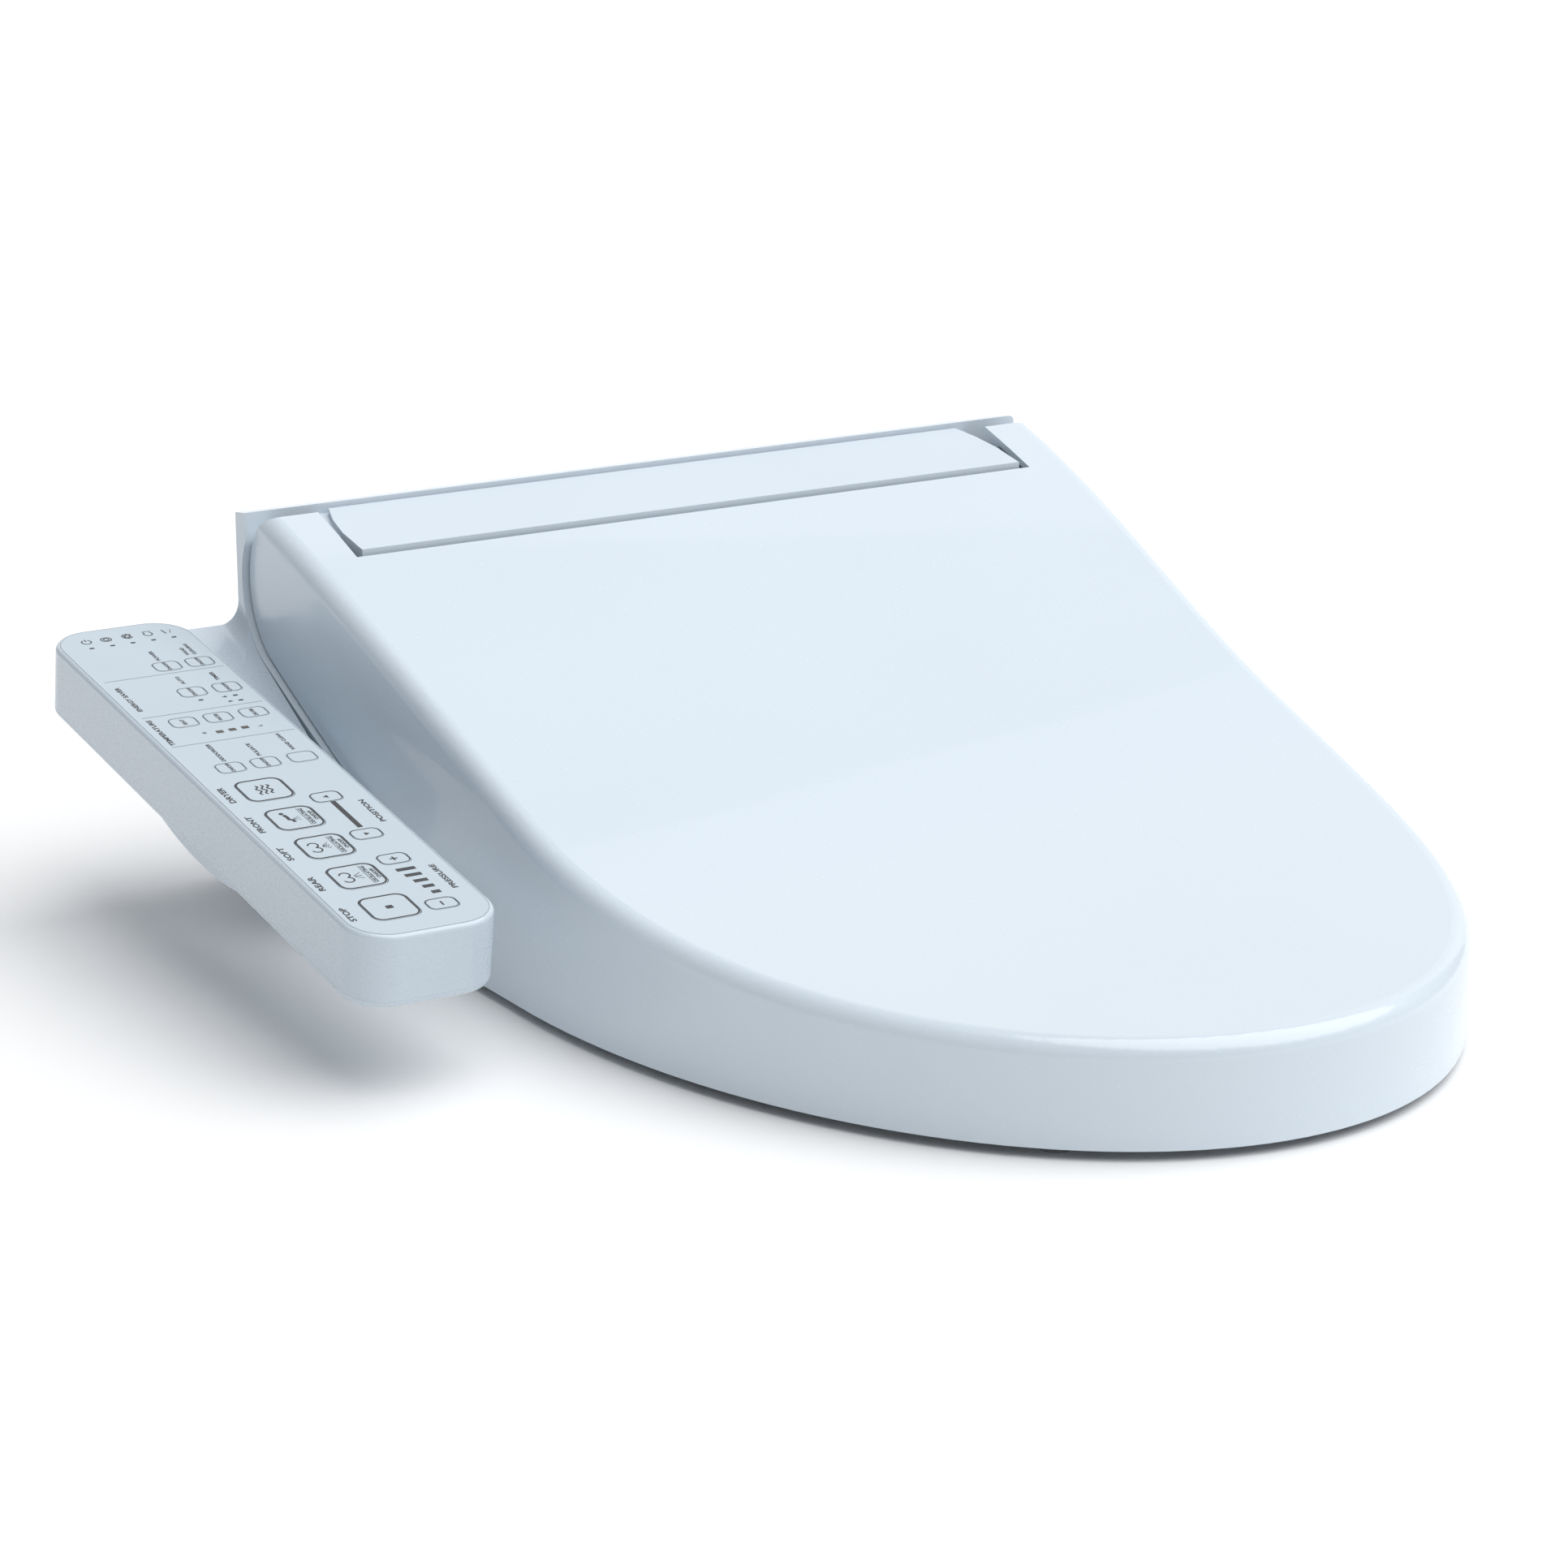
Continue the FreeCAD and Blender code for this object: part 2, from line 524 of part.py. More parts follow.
def make_case_screws():
    screws = []
    for x, y in SCREWS:
        head = rod((x, y, BASE_BOTTOM + 0.2), (0, 0, 1), SCREW_HEAD_R, 2.3)
        head = head.cut(box(x - 2.4, x + 2.4, y - 0.5, y + 0.5, 0, BASE_BOTTOM + 1.2))
        seat_z = BASE_BOTTOM + 2.5
        screws.append(head.fuse(rod((x, y, seat_z), (0, 0, 1), SCREW_R, SCREW_TOP - seat_z)))
    return group(screws)


# ---- water ----------------------------------------------------------------------------------------
def make_water_inlet_fitting():
    """G1/2 nipple for the supply hose, with a hex collar against the case."""
    pipe = rod((-184, INLET_Y, INLET_Z), (-1, 0, 0), INLET_R, 33)
    collar = rod((-201.8, INLET_Y, INLET_Z), (-1, 0, 0), 13.0, 3)
    bore = rod((-183, INLET_Y, INLET_Z), (-1, 0, 0), INLET_BORE_R, 36)
    return pipe.fuse(collar).cut(bore).removeSplitter()


def make_drain_strainer():
    """Screwed-in strainer with a coin slot in its cap."""
    barrel = rod((-160, STRAINER_Y, STRAINER_Z), (-1, 0, 0), STRAINER_R, 41)
    cap = rod((-199.6, STRAINER_Y, STRAINER_Z), (-1, 0, 0), STRAINER_R, 4.6)
    slot = box(-206, -201.5, STRAINER_Y - 6, STRAINER_Y + 6, STRAINER_Z - 1, STRAINER_Z + 1)
    plug = barrel.fuse(cap).cut(slot)
    return plug.cut(rod((-159, STRAINER_Y, STRAINER_Z), (-1, 0, 0), 6.0, 34)).removeSplitter()


def make_inlet_valve():
    """Solenoid valve: body behind the inlet, coil above it and an outlet towards the tank."""
    body = box(-184, -160, INLET_Y - 13, INLET_Y + 13, 17, 43)
    coil = rod((-172, INLET_Y, 43), (0, 0, 1), 10.0, 20)
    outlet = rod((-160, INLET_Y, INLET_Z), (1, 0, 0), 5.0, 8)
    return fuse_all([body, coil, outlet])


def make_hot_water_tank():
    """Heat exchanger: a closed tank with rounded edges, a flange and two pipe stubs."""
    x, y = TANK_AXIS
    half, floor, top = 47.0, 14.5, 88.0
    outer = box(x - half, x + half, y - half - 2, y + half + 2, floor, top)
    outer = outer.makeFillet(8, [edge for edge in outer.Edges if edge.BoundBox.ZLength > 20])
    rim = box(x - half - 2, x + half + 2, y - half - 4, y + half + 4, 52, 56)
    room = half - TANK_WALL
    hollow = box(x - room, x + room, y - room - 2, y + room + 2, floor + TANK_WALL, top - TANK_WALL)
    pipe = rod((x + 25, y + 11, top - 1), (0, 0, 1), 4.5, 11)
    bore = rod((x + 25, y + 11, top - TANK_WALL - 1), (0, 0, 1), 2.5, 30)
    return fuse_all([outer, rim, pipe]).cut(hollow).cut(bore)


def make_tank_heater():
    """Sheathed heating coil inside the tank: four turns on one riser."""
    x, y = TANK_AXIS
    turns = [Part.makeTorus(COIL_R, COIL_TUBE_R, V(x, y, z), V(0, 0, 1)) for z in COIL_HEIGHTS]
    length = COIL_HEIGHTS[-1] - COIL_HEIGHTS[0] + 2 * COIL_TUBE_R
    riser_y = y + COIL_R - 0.8
    riser = rod((x, riser_y, COIL_HEIGHTS[0] - COIL_TUBE_R), (0, 0, 1), COIL_TUBE_R + 0.6, length)
    return fuse_all(turns + [riser])


# ---- wand ---------------------------------------------------------------------------------------
def wand_place():
    """Frame of the wand: local X forward along the wand from its tip, local Z up and square to it."""
    turn = FreeCAD.Rotation(V(0, 0, 1), -90)
    tilt = FreeCAD.Rotation(V(1, 0, 0), WAND_SLOPE)
    return FreeCAD.Placement(V(0, WAND_TIP[0], WAND_TIP[1]), tilt.multiply(turn))


def placed(shape, placement):
    shape = shape.copy()
    shape.transformShape(placement.toMatrix(), True)
    return shape


def rack_tooth(x):
    """One rack tooth on the wand's back, centred at x."""
    half_pitch = GEAR_MODULE * math.pi / 4 - BACKLASH / 2
    lean = math.tan(math.radians(20))
    add = 0.8 * GEAR_MODULE
    ded = 1.25 * GEAR_MODULE
    line = RACK_LINE
    corners = [V(x - half_pitch - ded * lean, -RACK_HALF, line - ded),
               V(x + half_pitch + ded * lean, -RACK_HALF, line - ded),
               V(x + half_pitch - add * lean, -RACK_HALF, line + add),
               V(x - half_pitch + add * lean, -RACK_HALF, line + add)]
    return Part.Face(Part.makePolygon(corners + corners[:1])).extrude(V(0, 2 * RACK_HALF, 0))


def make_spray_wand():
    tube = rod((-WAND_LENGTH, 0, 0), (1, 0, 0), WAND_R, WAND_LENGTH - 14)
    tube = tube.cut(rod((-WAND_LENGTH - 1, 0, 0), (1, 0, 0), 3.0, WAND_LENGTH - 20))
    root = RACK_LINE - 1.25 * GEAR_MODULE
    rail_end = -28.0
    rail = box(-WAND_LENGTH, rail_end, -RACK_HALF, RACK_HALF, WAND_R - 1.5, root)
    pitch = math.pi * GEAR_MODULE
    count = int((WAND_LENGTH - PINION_ALONG + 6) / pitch)
    teeth = [rack_tooth(-PINION_ALONG + (7 - n) * pitch + pitch / 2) for n in range(count + 6)]
    teeth = [tooth for tooth in teeth
             if -WAND_LENGTH < tooth.BoundBox.XMin and tooth.BoundBox.XMax < rail_end]
    return placed(fuse_all([tube, rail] + teeth), wand_place())


def make_wand_tip():
    """Replaceable tip with its three spray holes on top."""
    tip = rod((-14, 0, 0), (1, 0, 0), WAND_R, 14)
    tip = tip.makeFillet(3.0, [edge for edge in tip.Edges if edge.BoundBox.XMin > -1])
    for x, y in ((-5.0, 0.0), (-8.0, -1.6), (-8.0, 1.6)):
        tip = tip.cut(rod((x, y, WAND_R - 3), (0, 0, 1), 0.6, 6))
    return placed(tip, wand_place())


def make_nozzle_guide():
    """Cradle with two collars that the wand slides through."""
    bed = box(-WAND_LENGTH - 4, -8, -12, 12, -WAND_R - 5, -WAND_R - 2)
    collars = []
    for x0, x1 in ((-37, -8), (-WAND_LENGTH + 4, -WAND_LENGTH + 14)):
        collar = box(x0, x1, -11, 11, -WAND_R - 5, WAND_R + 1.5)
        collar = collar.cut(rod((x0 - 1, 0, 0), (1, 0, 0), WAND_R + RUNNING, x1 - x0 + 2))
        collar = collar.cut(box(x0 - 1, x1 + 1, -RACK_HALF - 0.6, RACK_HALF + 0.6, 0, 30))
        collars.append(collar)
    whole = fuse_all([bed] + collars)
    return placed(whole, wand_place()).common(box(-30, 30, BASE_FRONT + WALL, 46.9, 0, 200))


def involute(base, radius):
    angle = math.acos(base / radius)
    return math.tan(angle) - angle


def make_wand_pinion():
    """Spur gear on the motor's shaft, in mesh with the wand's rack."""
    base = PINION_R * math.cos(math.radians(20))
    tip = PINION_R + 0.9 * GEAR_MODULE
    root = PINION_R - 1.25 * GEAR_MODULE
    half = (math.pi * GEAR_MODULE / 2 - BACKLASH) / 2 / PINION_R + involute(base, PINION_R)
    teeth = []
    for n in range(PINION_TEETH):
        middle = -math.pi / 2 + n * 2 * math.pi / PINION_TEETH
        radii = [base + (tip - base) * k / 4 for k in range(5)]
        right = [(r, middle + half - involute(base, r)) for r in radii]
        left = [(r, middle - half + involute(base, r)) for r in reversed(radii)]
        outline = [(root - 0.6, middle + half)] + right + left + [(root - 0.6, middle - half)]
        corners = [V(r * math.cos(a), -RACK_HALF, r * math.sin(a)) for r, a in outline]
        teeth.append(Part.Face(Part.makePolygon(corners + corners[:1])).extrude(V(0, 2 * RACK_HALF, 0)))
    hub = rod((0, -RACK_HALF, 0), (0, 1, 0), root, 2 * RACK_HALF)
    gear = fuse_all([hub] + teeth)
    gear = gear.cut(rod((0, -10, 0), (0, 1, 0), 2.5 + RUNNING, 20))
    gear.translate(V(-PINION_ALONG, 0, RACK_LINE + PINION_R))
    return placed(gear, wand_place())


def make_wand_motor():
    """Stepper motor beside the guide; local +Y points to the right of the unit."""
    z = RACK_LINE + PINION_R
    x = -PINION_ALONG
    can = rod((x, 14, z), (0, 1, 0), 14.0, 19)
    ears = box(x - 21, x + 21, 14, 15.5, z - 4, z + 4)
    shaft = rod((x, -6, z), (0, 1, 0), 2.5, 20)
    return placed(fuse_all([can, ears, shaft]), wand_place())


def make_nozzle_gate():
    """Flap that hangs in front of the wand, with a notch that the wand passes through."""
    flap = box(-16, 16, GATE_Y, GATE_Y + 1.6, 14, GATE_Z)
    flap = flap.fuse(rod((-16, GATE_Y + 1.6, GATE_Z), (1, 0, 0), 2.2, 32))
    notch = box(-9, 9, GATE_Y - 3, GATE_Y + 5, 10, 46)
    bore = rod((-20, GATE_Y + 1.6, GATE_Z), (1, 0, 0), GATE_PIN_R + RUNNING, 40)
    return flap.cut(notch).cut(bore).removeSplitter()


# ---- air ----------------------------------------------------------------------------------------
def make_blower_housing():
    """Scroll of the dryer's blower, with an inlet in its top and an outlet towards the front."""
    x, y = BLOWER
    z0, z1 = BLOWER_Z
    drum = rod((x, y, z0), (0, 0, 1), 33.0, z1 - z0)
    throat = box(63, 92, y - 36, y, z0, z1)
    solid = drum.fuse(throat)
    inside = rod((x, y, z0 + 2), (0, 0, 1), 31.0, z1 - z0 - 4)
    inside = inside.fuse(box(65, 90, y - 40, y, z0 + 2, z1 - 2))
    inlet = rod((x, y, z1 - 3), (0, 0, 1), 18.0, 6)
    stub = rod((x, y, z0), (0, 0, 1), 2.0, 24)
    return solid.cut(inside).cut(inlet).fuse(stub).removeSplitter()


def bladed_wheel(radius, height, blades, bore):
    """Forward-bladed fan wheel: a back plate, a hub and a ring of thin blades."""
    plate = rod((0, 0, 0), (0, 0, 1), radius, 1.6)
    hub = rod((0, 0, 0), (0, 0, 1), bore + 2.5, height * 0.8)
    pieces = [plate, hub]
    for n in range(blades):
        blade = box(radius * 0.72, radius - 0.4, -0.5, 0.5, 1.0, height)
        blade.rotate(V(radius * 0.86, 0, 0), V(0, 0, 1), 28)
        blade.rotate(V(0, 0, 0), V(0, 0, 1), n * 360.0 / blades)
        pieces.append(blade)
    rim = rod((0, 0, height - 1.2), (0, 0, 1), radius, 1.2).cut(
        rod((0, 0, height - 2), (0, 0, 1), radius * 0.7, 4))
    wheel = fuse_all(pieces + [rim])
    return wheel.cut(rod((0, 0, -1), (0, 0, 1), bore, height + 4))


def make_blower_rotor():
    wheel = bladed_wheel(27.0, 22.0, 16, 2.0 + RUNNING)
    wheel.translate(V(BLOWER[0], BLOWER[1], BLOWER_Z[0] + 4))
    return wheel


def make_dryer_duct():
    """Duct from the blower to the outlet in the front wall, with a louvre across its mouth."""
    outer = box(34, 92, -84.9, -58, 16, 46)
    inner = box(36, 90, -86, -57, 18, 44)
    duct = outer.cut(inner)
    duct = duct.cut(box(65, 90, -70, -50, 17.1, 44.9))
    front = box(34, 92, -84.9, -82.9, 16, 46).cut(box(35, 57, -90, -70, 22, 40))
    bars = [box(34.5, 57.5, -84.5, -83.2, z, z + 1.2) for z in (26, 30.4, 34.8)]
    return fuse_all([duct, front] + bars)


def make_dryer_heater():
    """Mica card heater: crossed boards wound with ribbon."""
    card = box(44, 60, -78, -62, 30.2, 31.8)
    cross = box(51.2, 52.8, -78, -62, 20, 42)
    rings = [box(46, 58, y, y + 1.0, 23, 39).cut(box(47, 57, y - 1, y + 2, 24, 38))
             for y in (-76, -71, -66)]
    return fuse_all([card, cross] + rings)


def make_deodorizer_housing():
    """Fan box of the deodorizer; the cartridge slides in beside it."""
    y0, y1 = FILTER_Y
    solid = box(138, 165, y0, y1, 14.5, 44)
    middle = (y0 + y1) / 2
    solid = solid.cut(rod((140, middle, FAN_Z), (1, 0, 0), 13.0, 30))
    stub = rod((138, middle, FAN_Z), (1, 0, 0), 1.5, 14)
    return solid.fuse(stub).removeSplitter()


def make_deodorizer_rotor():
    wheel = bladed_wheel(12.0, 12.0, 11, 1.5 + RUNNING)
    wheel.rotate(V(0, 0, 0), V(0, 1, 0), 90)
    wheel.translate(V(141, sum(FILTER_Y) / 2, FAN_Z))
    return wheel


def make_filter_cartridge():
    """Carbon filter drawer with a finger lip, pulled out to the right."""
    y0, y1 = FILTER_Y
    z0, z1 = FILTER_Z
    drawer = box(168.0, FILTER_FACE, y0, y1, z0, z1)
    grip = rod((FILTER_FACE + 3, (y0 + y1) / 2, 10), (0, 0, 1), 7.0, 22)
    drawer = drawer.cut(grip)
    for n in range(4):
        y = y0 + 5 + n * 7.4
        drawer = drawer.cut(box(165, FILTER_FACE - 8, y, y + 4.6, z0 + 3, z1 - 3))
    return drawer.removeSplitter()


# ---- electrics ------------------------------------------------------------------------------------
def make_main_circuit_board():
    board = box(-48, 130, 41.5, 43.1, 66, 128)
    chips = []
    for x, z, width, height, depth in ((-40, 74, 22, 18, 9), (-6, 80, 14, 14, 4), (20, 72, 26, 20, 12),
                                       (60, 78, 18, 30, 8), (90, 74, 12, 12, 10), (110, 96, 12, 18, 7)):
        chips.append(box(x, x + width, 41.5 - depth, 41.5, z, z + height))
    return fuse_all([board] + chips)


def make_power_module():
    """Potted power supply with cooling fins."""
    block = box(64, 128, -50, 8, 64, 92)
    fins = [box(66 + 8 * n, 69 + 8 * n, -48, 6, 92, 102) for n in range(8)]
    return fuse_all([block] + fins)


def make_cord_gland():
    """Rubber gland in the left side where a mains cord would leave."""
    barrel = rod((-194, GLAND_Y, GLAND_Z), (-1, 0, 0), GLAND_R, 9)
    flange = rod((-196.5, GLAND_Y, GLAND_Z), (1, 0, 0), GLAND_R + 2, 2)
    nose = Part.makeCone(8.0, 5.5, 8, V(-202.9, GLAND_Y, GLAND_Z), V(-1, 0, 0))
    return fuse_all([barrel, flange, nose]).cut(rod((-190, GLAND_Y, GLAND_Z), (-1, 0, 0), 3.6, 30))


def make_release_button():
    """Button on the right side that frees the unit from its mounting plate."""
    cap = box(BASE_RIGHT - 9.5, BASE_RIGHT + 0.6, 10, 30, 14, 26)
    cap = cap.makeFillet(1.5, [edge for edge in cap.Edges if edge.BoundBox.XMin > BASE_RIGHT])
    shank = box(150, BASE_RIGHT - 9.5, 16, 24, 17, 23)
    return cap.fuse(shank).removeSplitter()


# ---- control panel --------------------------------------------------------------------------------
def panel_place():
    """Frame of the panel: local X across it, local Y rearwards, local Z square out of its face."""
    return FreeCAD.Placement(V(0, PANEL_REAR, PANEL_TOP_Z), FreeCAD.Rotation(V(1, 0, 0), PANEL_PITCH))


def rounded_block(x0, x1, y0, y1, z0, z1, radius):
    block = box(x0, x1, y0, y1, z0, z1)
    return block.makeFillet(radius, [edge for edge in block.Edges if edge.BoundBox.ZLength > (z1 - z0) * 0.9])


def key_block(size, x, along, grow, z0, z1):
    width, length, radius = size
    return rounded_block(x - width / 2 - grow, x + width / 2 + grow, -along - length / 2 - grow,
                         -along + length / 2 + grow, z0, z1, radius + grow)


def panel_block(inset, z0, z1):
    x0, x1 = PANEL_X
    return rounded_block(x0 + inset, x1 - inset, -PANEL_LENGTH + inset, PANEL_TAIL - inset, z0, z1,
                         PANEL_CORNER_R - inset)


def make_arm_case_upper():
    """Frame of the control arm: side walls, and a deck with a hole for each key."""
    floor = -PANEL_DEPTH + 3.0
    case = panel_block(0, floor, 0)
    case = case.makeFillet(2.2, [edge for edge in case.Edges if edge.BoundBox.ZMin > -0.01])
    case = case.cut(panel_block(PANEL_RIM, -OVERLAY_THICK, 1))
    case = case.cut(panel_block(WALL, floor - 1, -OVERLAY_THICK - DECK_THICK))
    holes = [key_block(size, x, along, KEY_GAP, -10, 1) for _, size, x, along in KEYS]
    case = case.cut(holes)
    case = case.cut([box(x - 1.2, x + 1.2, -y - 1.2, -y + 1.2, -10, 1) for x, y in LEDS])
    return placed(case, panel_place())


def make_panel_overlay():
    sheet = panel_block(PANEL_RIM, -OVERLAY_THICK, 0)
    holes = [key_block(size, x, along, KEY_GAP, -2, 1) for _, size, x, along in KEYS]
    return placed(sheet.cut(holes), panel_place())


def make_key(size, x, along):
    """Key cap flush with the overlay, a flange that keeps it in, and a stem down to its switch."""
    deck_bottom = -OVERLAY_THICK - DECK_THICK
    cap = key_block(size, x, along, 0, deck_bottom - 0.4, 0)
    flange = key_block(size, x, along, 1.0, deck_bottom - 1.7, deck_bottom - 0.4)
    stem = rod((x, -along, -7.1), (0, 0, 1), 1.5, 7.1 + deck_bottom - 1.0)
    return placed(fuse_all([cap, flange, stem]), panel_place())


def make_panel_circuit_board():
    board = panel_block(6.0, -9.8, -8.2)
    switches = [rod((x, -along, -8.2), (0, 0, 1), 3.0, 0.5) for _, _, x, along in KEYS]
    return placed(fuse_all([board] + switches), panel_place())


def make_indicator_leds():
    lights = []
    for x, along in LEDS:
        lights.append(box(x - 1.0, x + 1.0, -along - 1.0, -along + 1.0, -8.2, -0.9))
    return group([placed(light, panel_place()) for light in lights])


def make_arm_case_lower():
    """Bottom of the control arm with the bridge that joins it to the main unit."""
    floor = -PANEL_DEPTH + 3.0
    bottom = panel_block(0, -PANEL_DEPTH, floor)
    bottom = bottom.makeFillet(2.5, [edge for edge in bottom.Edges if edge.BoundBox.ZMax < -PANEL_DEPTH + 0.01])
    left = PANEL_X[0] + 4
    start, end, depth = BELLY
    rear = V(left, -start, -PANEL_DEPTH)
    front = V(left, -end, -PANEL_DEPTH)
    lowest = V(left, -(start + end) / 2, -PANEL_DEPTH - depth)
    curve = Part.Arc(rear, lowest, front).toShape()
    belly = Part.Face(Part.Wire([curve, Part.makeLine(front, rear)]))
    belly = belly.extrude(V(PANEL_X[1] - PANEL_X[0] - 8, 0, 0))
    arm = placed(bottom.fuse(belly), panel_place())
    return arm.fuse(make_bridge()).removeSplitter()


def make_bridge():
    """Sloping bridge from the arm to the main unit, in line with the lower edge of the lid's arm."""
    slope = FreeCAD.Rotation(V(1, 0, 0), ARM_SLOPE)
    y, z, radius = ARM_ROUND
    radius += 1.2
    angle = math.radians(ARM_SLOPE)
    foot = V(0, y + radius * math.sin(angle), z - radius * math.cos(angle))
    outer, inner, curl = PANEL_X[1], -BASE_HALF, 9.0
    middle = V(inner - curl * (1 - math.sqrt(0.5)), 0, curl * (1 - math.sqrt(0.5)))
    edges = [Part.makeLine(V(outer, 0, 0), V(inner - curl, 0, 0)),
             Part.Arc(V(inner - curl, 0, 0), middle, V(inner, 0, curl)).toShape(),
             Part.makeLine(V(inner, 0, curl), V(inner, 0, -BRIDGE_DEPTH)),
             Part.makeLine(V(inner, 0, -BRIDGE_DEPTH), V(outer, 0, -BRIDGE_DEPTH)),
             Part.makeLine(V(outer, 0, -BRIDGE_DEPTH), V(outer, 0, 0))]
    section = Part.Face(Part.Wire(Part.__sortEdges__(edges)))
    bar = section.extrude(V(0, 160, 0))
    bar.translate(V(0, -100, 0))
    bar = placed(bar, FreeCAD.Placement(foot, slope))
    arm = placed(panel_block(0, -PANEL_DEPTH, 0), panel_place())
    bar = bar.common(cheek_region(1.2, 300)).common(box(-400, 0, -60, BASE_REAR, 0, 300))
    return bar.cut(arm)


# ---- write every piece ----------------------------------------------------------------------------
shell = base_shell()
save("upper_case", make_upper_case(shell))
save("lower_case", make_lower_case(shell))
save("cover_plate", make_cover_plate())
save("base_cushions", make_base_cushions())
save("case_screws", make_case_screws())
save("hinge_pins", make_hinge_pins())
save("hinge_dampers", group([make_damper(98, 144), make_damper(-144, -98)]))
save("mounting_plate", make_mounting_plate())
save("release_button", make_release_button())
save("water_inlet_fitting", make_water_inlet_fitting())
save("drain_strainer", make_drain_strainer())
save("inlet_valve", make_inlet_valve())
save("hot_water_tank", make_hot_water_tank())
save("tank_heater", make_tank_heater())
save("nozzle_guide", make_nozzle_guide())
save("spray_wand", make_spray_wand())
save("wand_tip", make_wand_tip())
save("wand_pinion", make_wand_pinion())
save("wand_motor", make_wand_motor())
save("nozzle_gate", make_nozzle_gate())
save("blower_housing", make_blower_housing())
save("blower_rotor", make_blower_rotor())
save("dryer_duct", make_dryer_duct())
save("dryer_heater", make_dryer_heater())
save("deodorizer_housing", make_deodorizer_housing())
save("deodorizer_rotor", make_deodorizer_rotor())
save("filter_cartridge", make_filter_cartridge())
save("main_circuit_board", make_main_circuit_board())
save("power_module", make_power_module())
save("cord_gland", make_cord_gland())
save("arm_case_upper", make_arm_case_upper())
save("arm_case_lower", make_arm_case_lower())
save("panel_overlay", make_panel_overlay())
save("panel_circuit_board", make_panel_circuit_board())
save("indicator_leds", make_indicator_leds())
for key_name, key_size, key_x, key_along in KEYS:
    save(key_name, make_key(key_size, key_x, key_along))
save("lid_shell", make_lid_shell())
save("lid_bumpers", make_lid_bumpers())
save("seat_top_shell", make_seat_top_shell())
save("seat_bottom_shell", make_seat_bottom_shell())
save("seat_heater", make_seat_heater())
save("seat_bumpers", make_seat_bumpers())
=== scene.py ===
# %% [markdown]
# # An electric bidet seat, dressed for a studio shot
# The measured model arrives as one fixed frame: every shell, key and screw is already in its place,
# in metres. This lesson gives each of them a finish, remakes the few whose soft shapes deserve a
# finer mesh, prints the control panel, and lights the result.

# %% Load the measured frame
import math
import bmesh
import bpy
from mathutils import Matrix, Vector


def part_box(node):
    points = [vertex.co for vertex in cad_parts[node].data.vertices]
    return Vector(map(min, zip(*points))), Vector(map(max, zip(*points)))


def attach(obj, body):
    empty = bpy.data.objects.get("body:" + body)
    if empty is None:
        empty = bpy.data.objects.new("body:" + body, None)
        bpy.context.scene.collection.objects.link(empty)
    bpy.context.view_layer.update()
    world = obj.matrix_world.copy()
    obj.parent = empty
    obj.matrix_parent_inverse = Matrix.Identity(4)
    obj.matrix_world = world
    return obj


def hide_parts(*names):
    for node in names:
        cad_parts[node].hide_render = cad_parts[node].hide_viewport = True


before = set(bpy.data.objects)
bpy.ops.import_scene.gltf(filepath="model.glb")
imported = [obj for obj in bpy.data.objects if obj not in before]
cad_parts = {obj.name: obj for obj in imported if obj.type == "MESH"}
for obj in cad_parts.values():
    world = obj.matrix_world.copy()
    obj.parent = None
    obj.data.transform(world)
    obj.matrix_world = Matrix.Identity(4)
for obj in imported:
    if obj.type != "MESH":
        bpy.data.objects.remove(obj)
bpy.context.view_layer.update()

# %% [markdown]
# ## The studio
# White plastic on a white floor is told apart only by its shading. One large lamp overhead and to the
# right rear keeps the lid bright, a weaker one fills the front, and the left flank stays in soft shade.
# The camera looks down from the front left with a long lens, as a catalogue shot does.

# %% Camera
def look_from(place, right, up, back, focal):
    turn = Matrix((right, up, back)).transposed()
    lens = bpy.data.cameras.new("catalogue_camera")
    lens.sensor_width = 36.0
    lens.lens = focal
    lens.clip_start = 0.05
    lens.clip_end = 50.0
    camera = bpy.data.objects.new("catalogue_camera", lens)
    bpy.context.scene.collection.objects.link(camera)
    camera.matrix_world = Matrix.Translation(place) @ turn.to_4x4()
    bpy.context.scene.camera = camera
    return camera


CAMERA_PLACE = Vector((-0.9963, -1.7618, 0.6164))
CAMERA_RIGHT = (0.8604, -0.5096, -0.0021)
CAMERA_UP = (0.1454, 0.2415, 0.9594)
CAMERA_BACK = (-0.4885, -0.8258, 0.2819)
LENS = 106.2
look_from(CAMERA_PLACE, CAMERA_RIGHT, CAMERA_UP, CAMERA_BACK, LENS)
print("camera stands", round(CAMERA_PLACE.length, 2), "m from the bolt line")

# %% Floor
def make_floor():
    bm = bmesh.new()
    bmesh.ops.create_grid(bm, x_segments=2, y_segments=2, size=30.0)
    mesh = bpy.data.meshes.new("studio_floor")
    bm.to_mesh(mesh)
    bm.free()
    floor = bpy.data.objects.new("studio_floor", mesh)
    bpy.context.scene.collection.objects.link(floor)
    return floor


floor = make_floor()

# %% Lamps and room light
def soft_lamp(name, place, aim, size, power):
    light = bpy.data.lights.new(name, "AREA")
    light.shape = "RECTANGLE"
    light.size = size[0]
    light.size_y = size[1]
    light.energy = power
    lamp = bpy.data.objects.new(name, light)
    bpy.context.scene.collection.objects.link(lamp)
    back = (Vector(place) - Vector(aim)).normalized()
    lamp.matrix_world = Matrix.Translation(place) @ back.to_track_quat("Z", "Y").to_matrix().to_4x4()
    return lamp


def wide_sun(name, towards, strength, spread):
    light = bpy.data.lights.new(name, "SUN")
    light.energy = strength
    light.angle = math.radians(spread)
    lamp = bpy.data.objects.new(name, light)
    bpy.context.scene.collection.objects.link(lamp)
    lamp.matrix_world = Vector(towards).to_track_quat("Z", "Y").to_matrix().to_4x4()
    return lamp


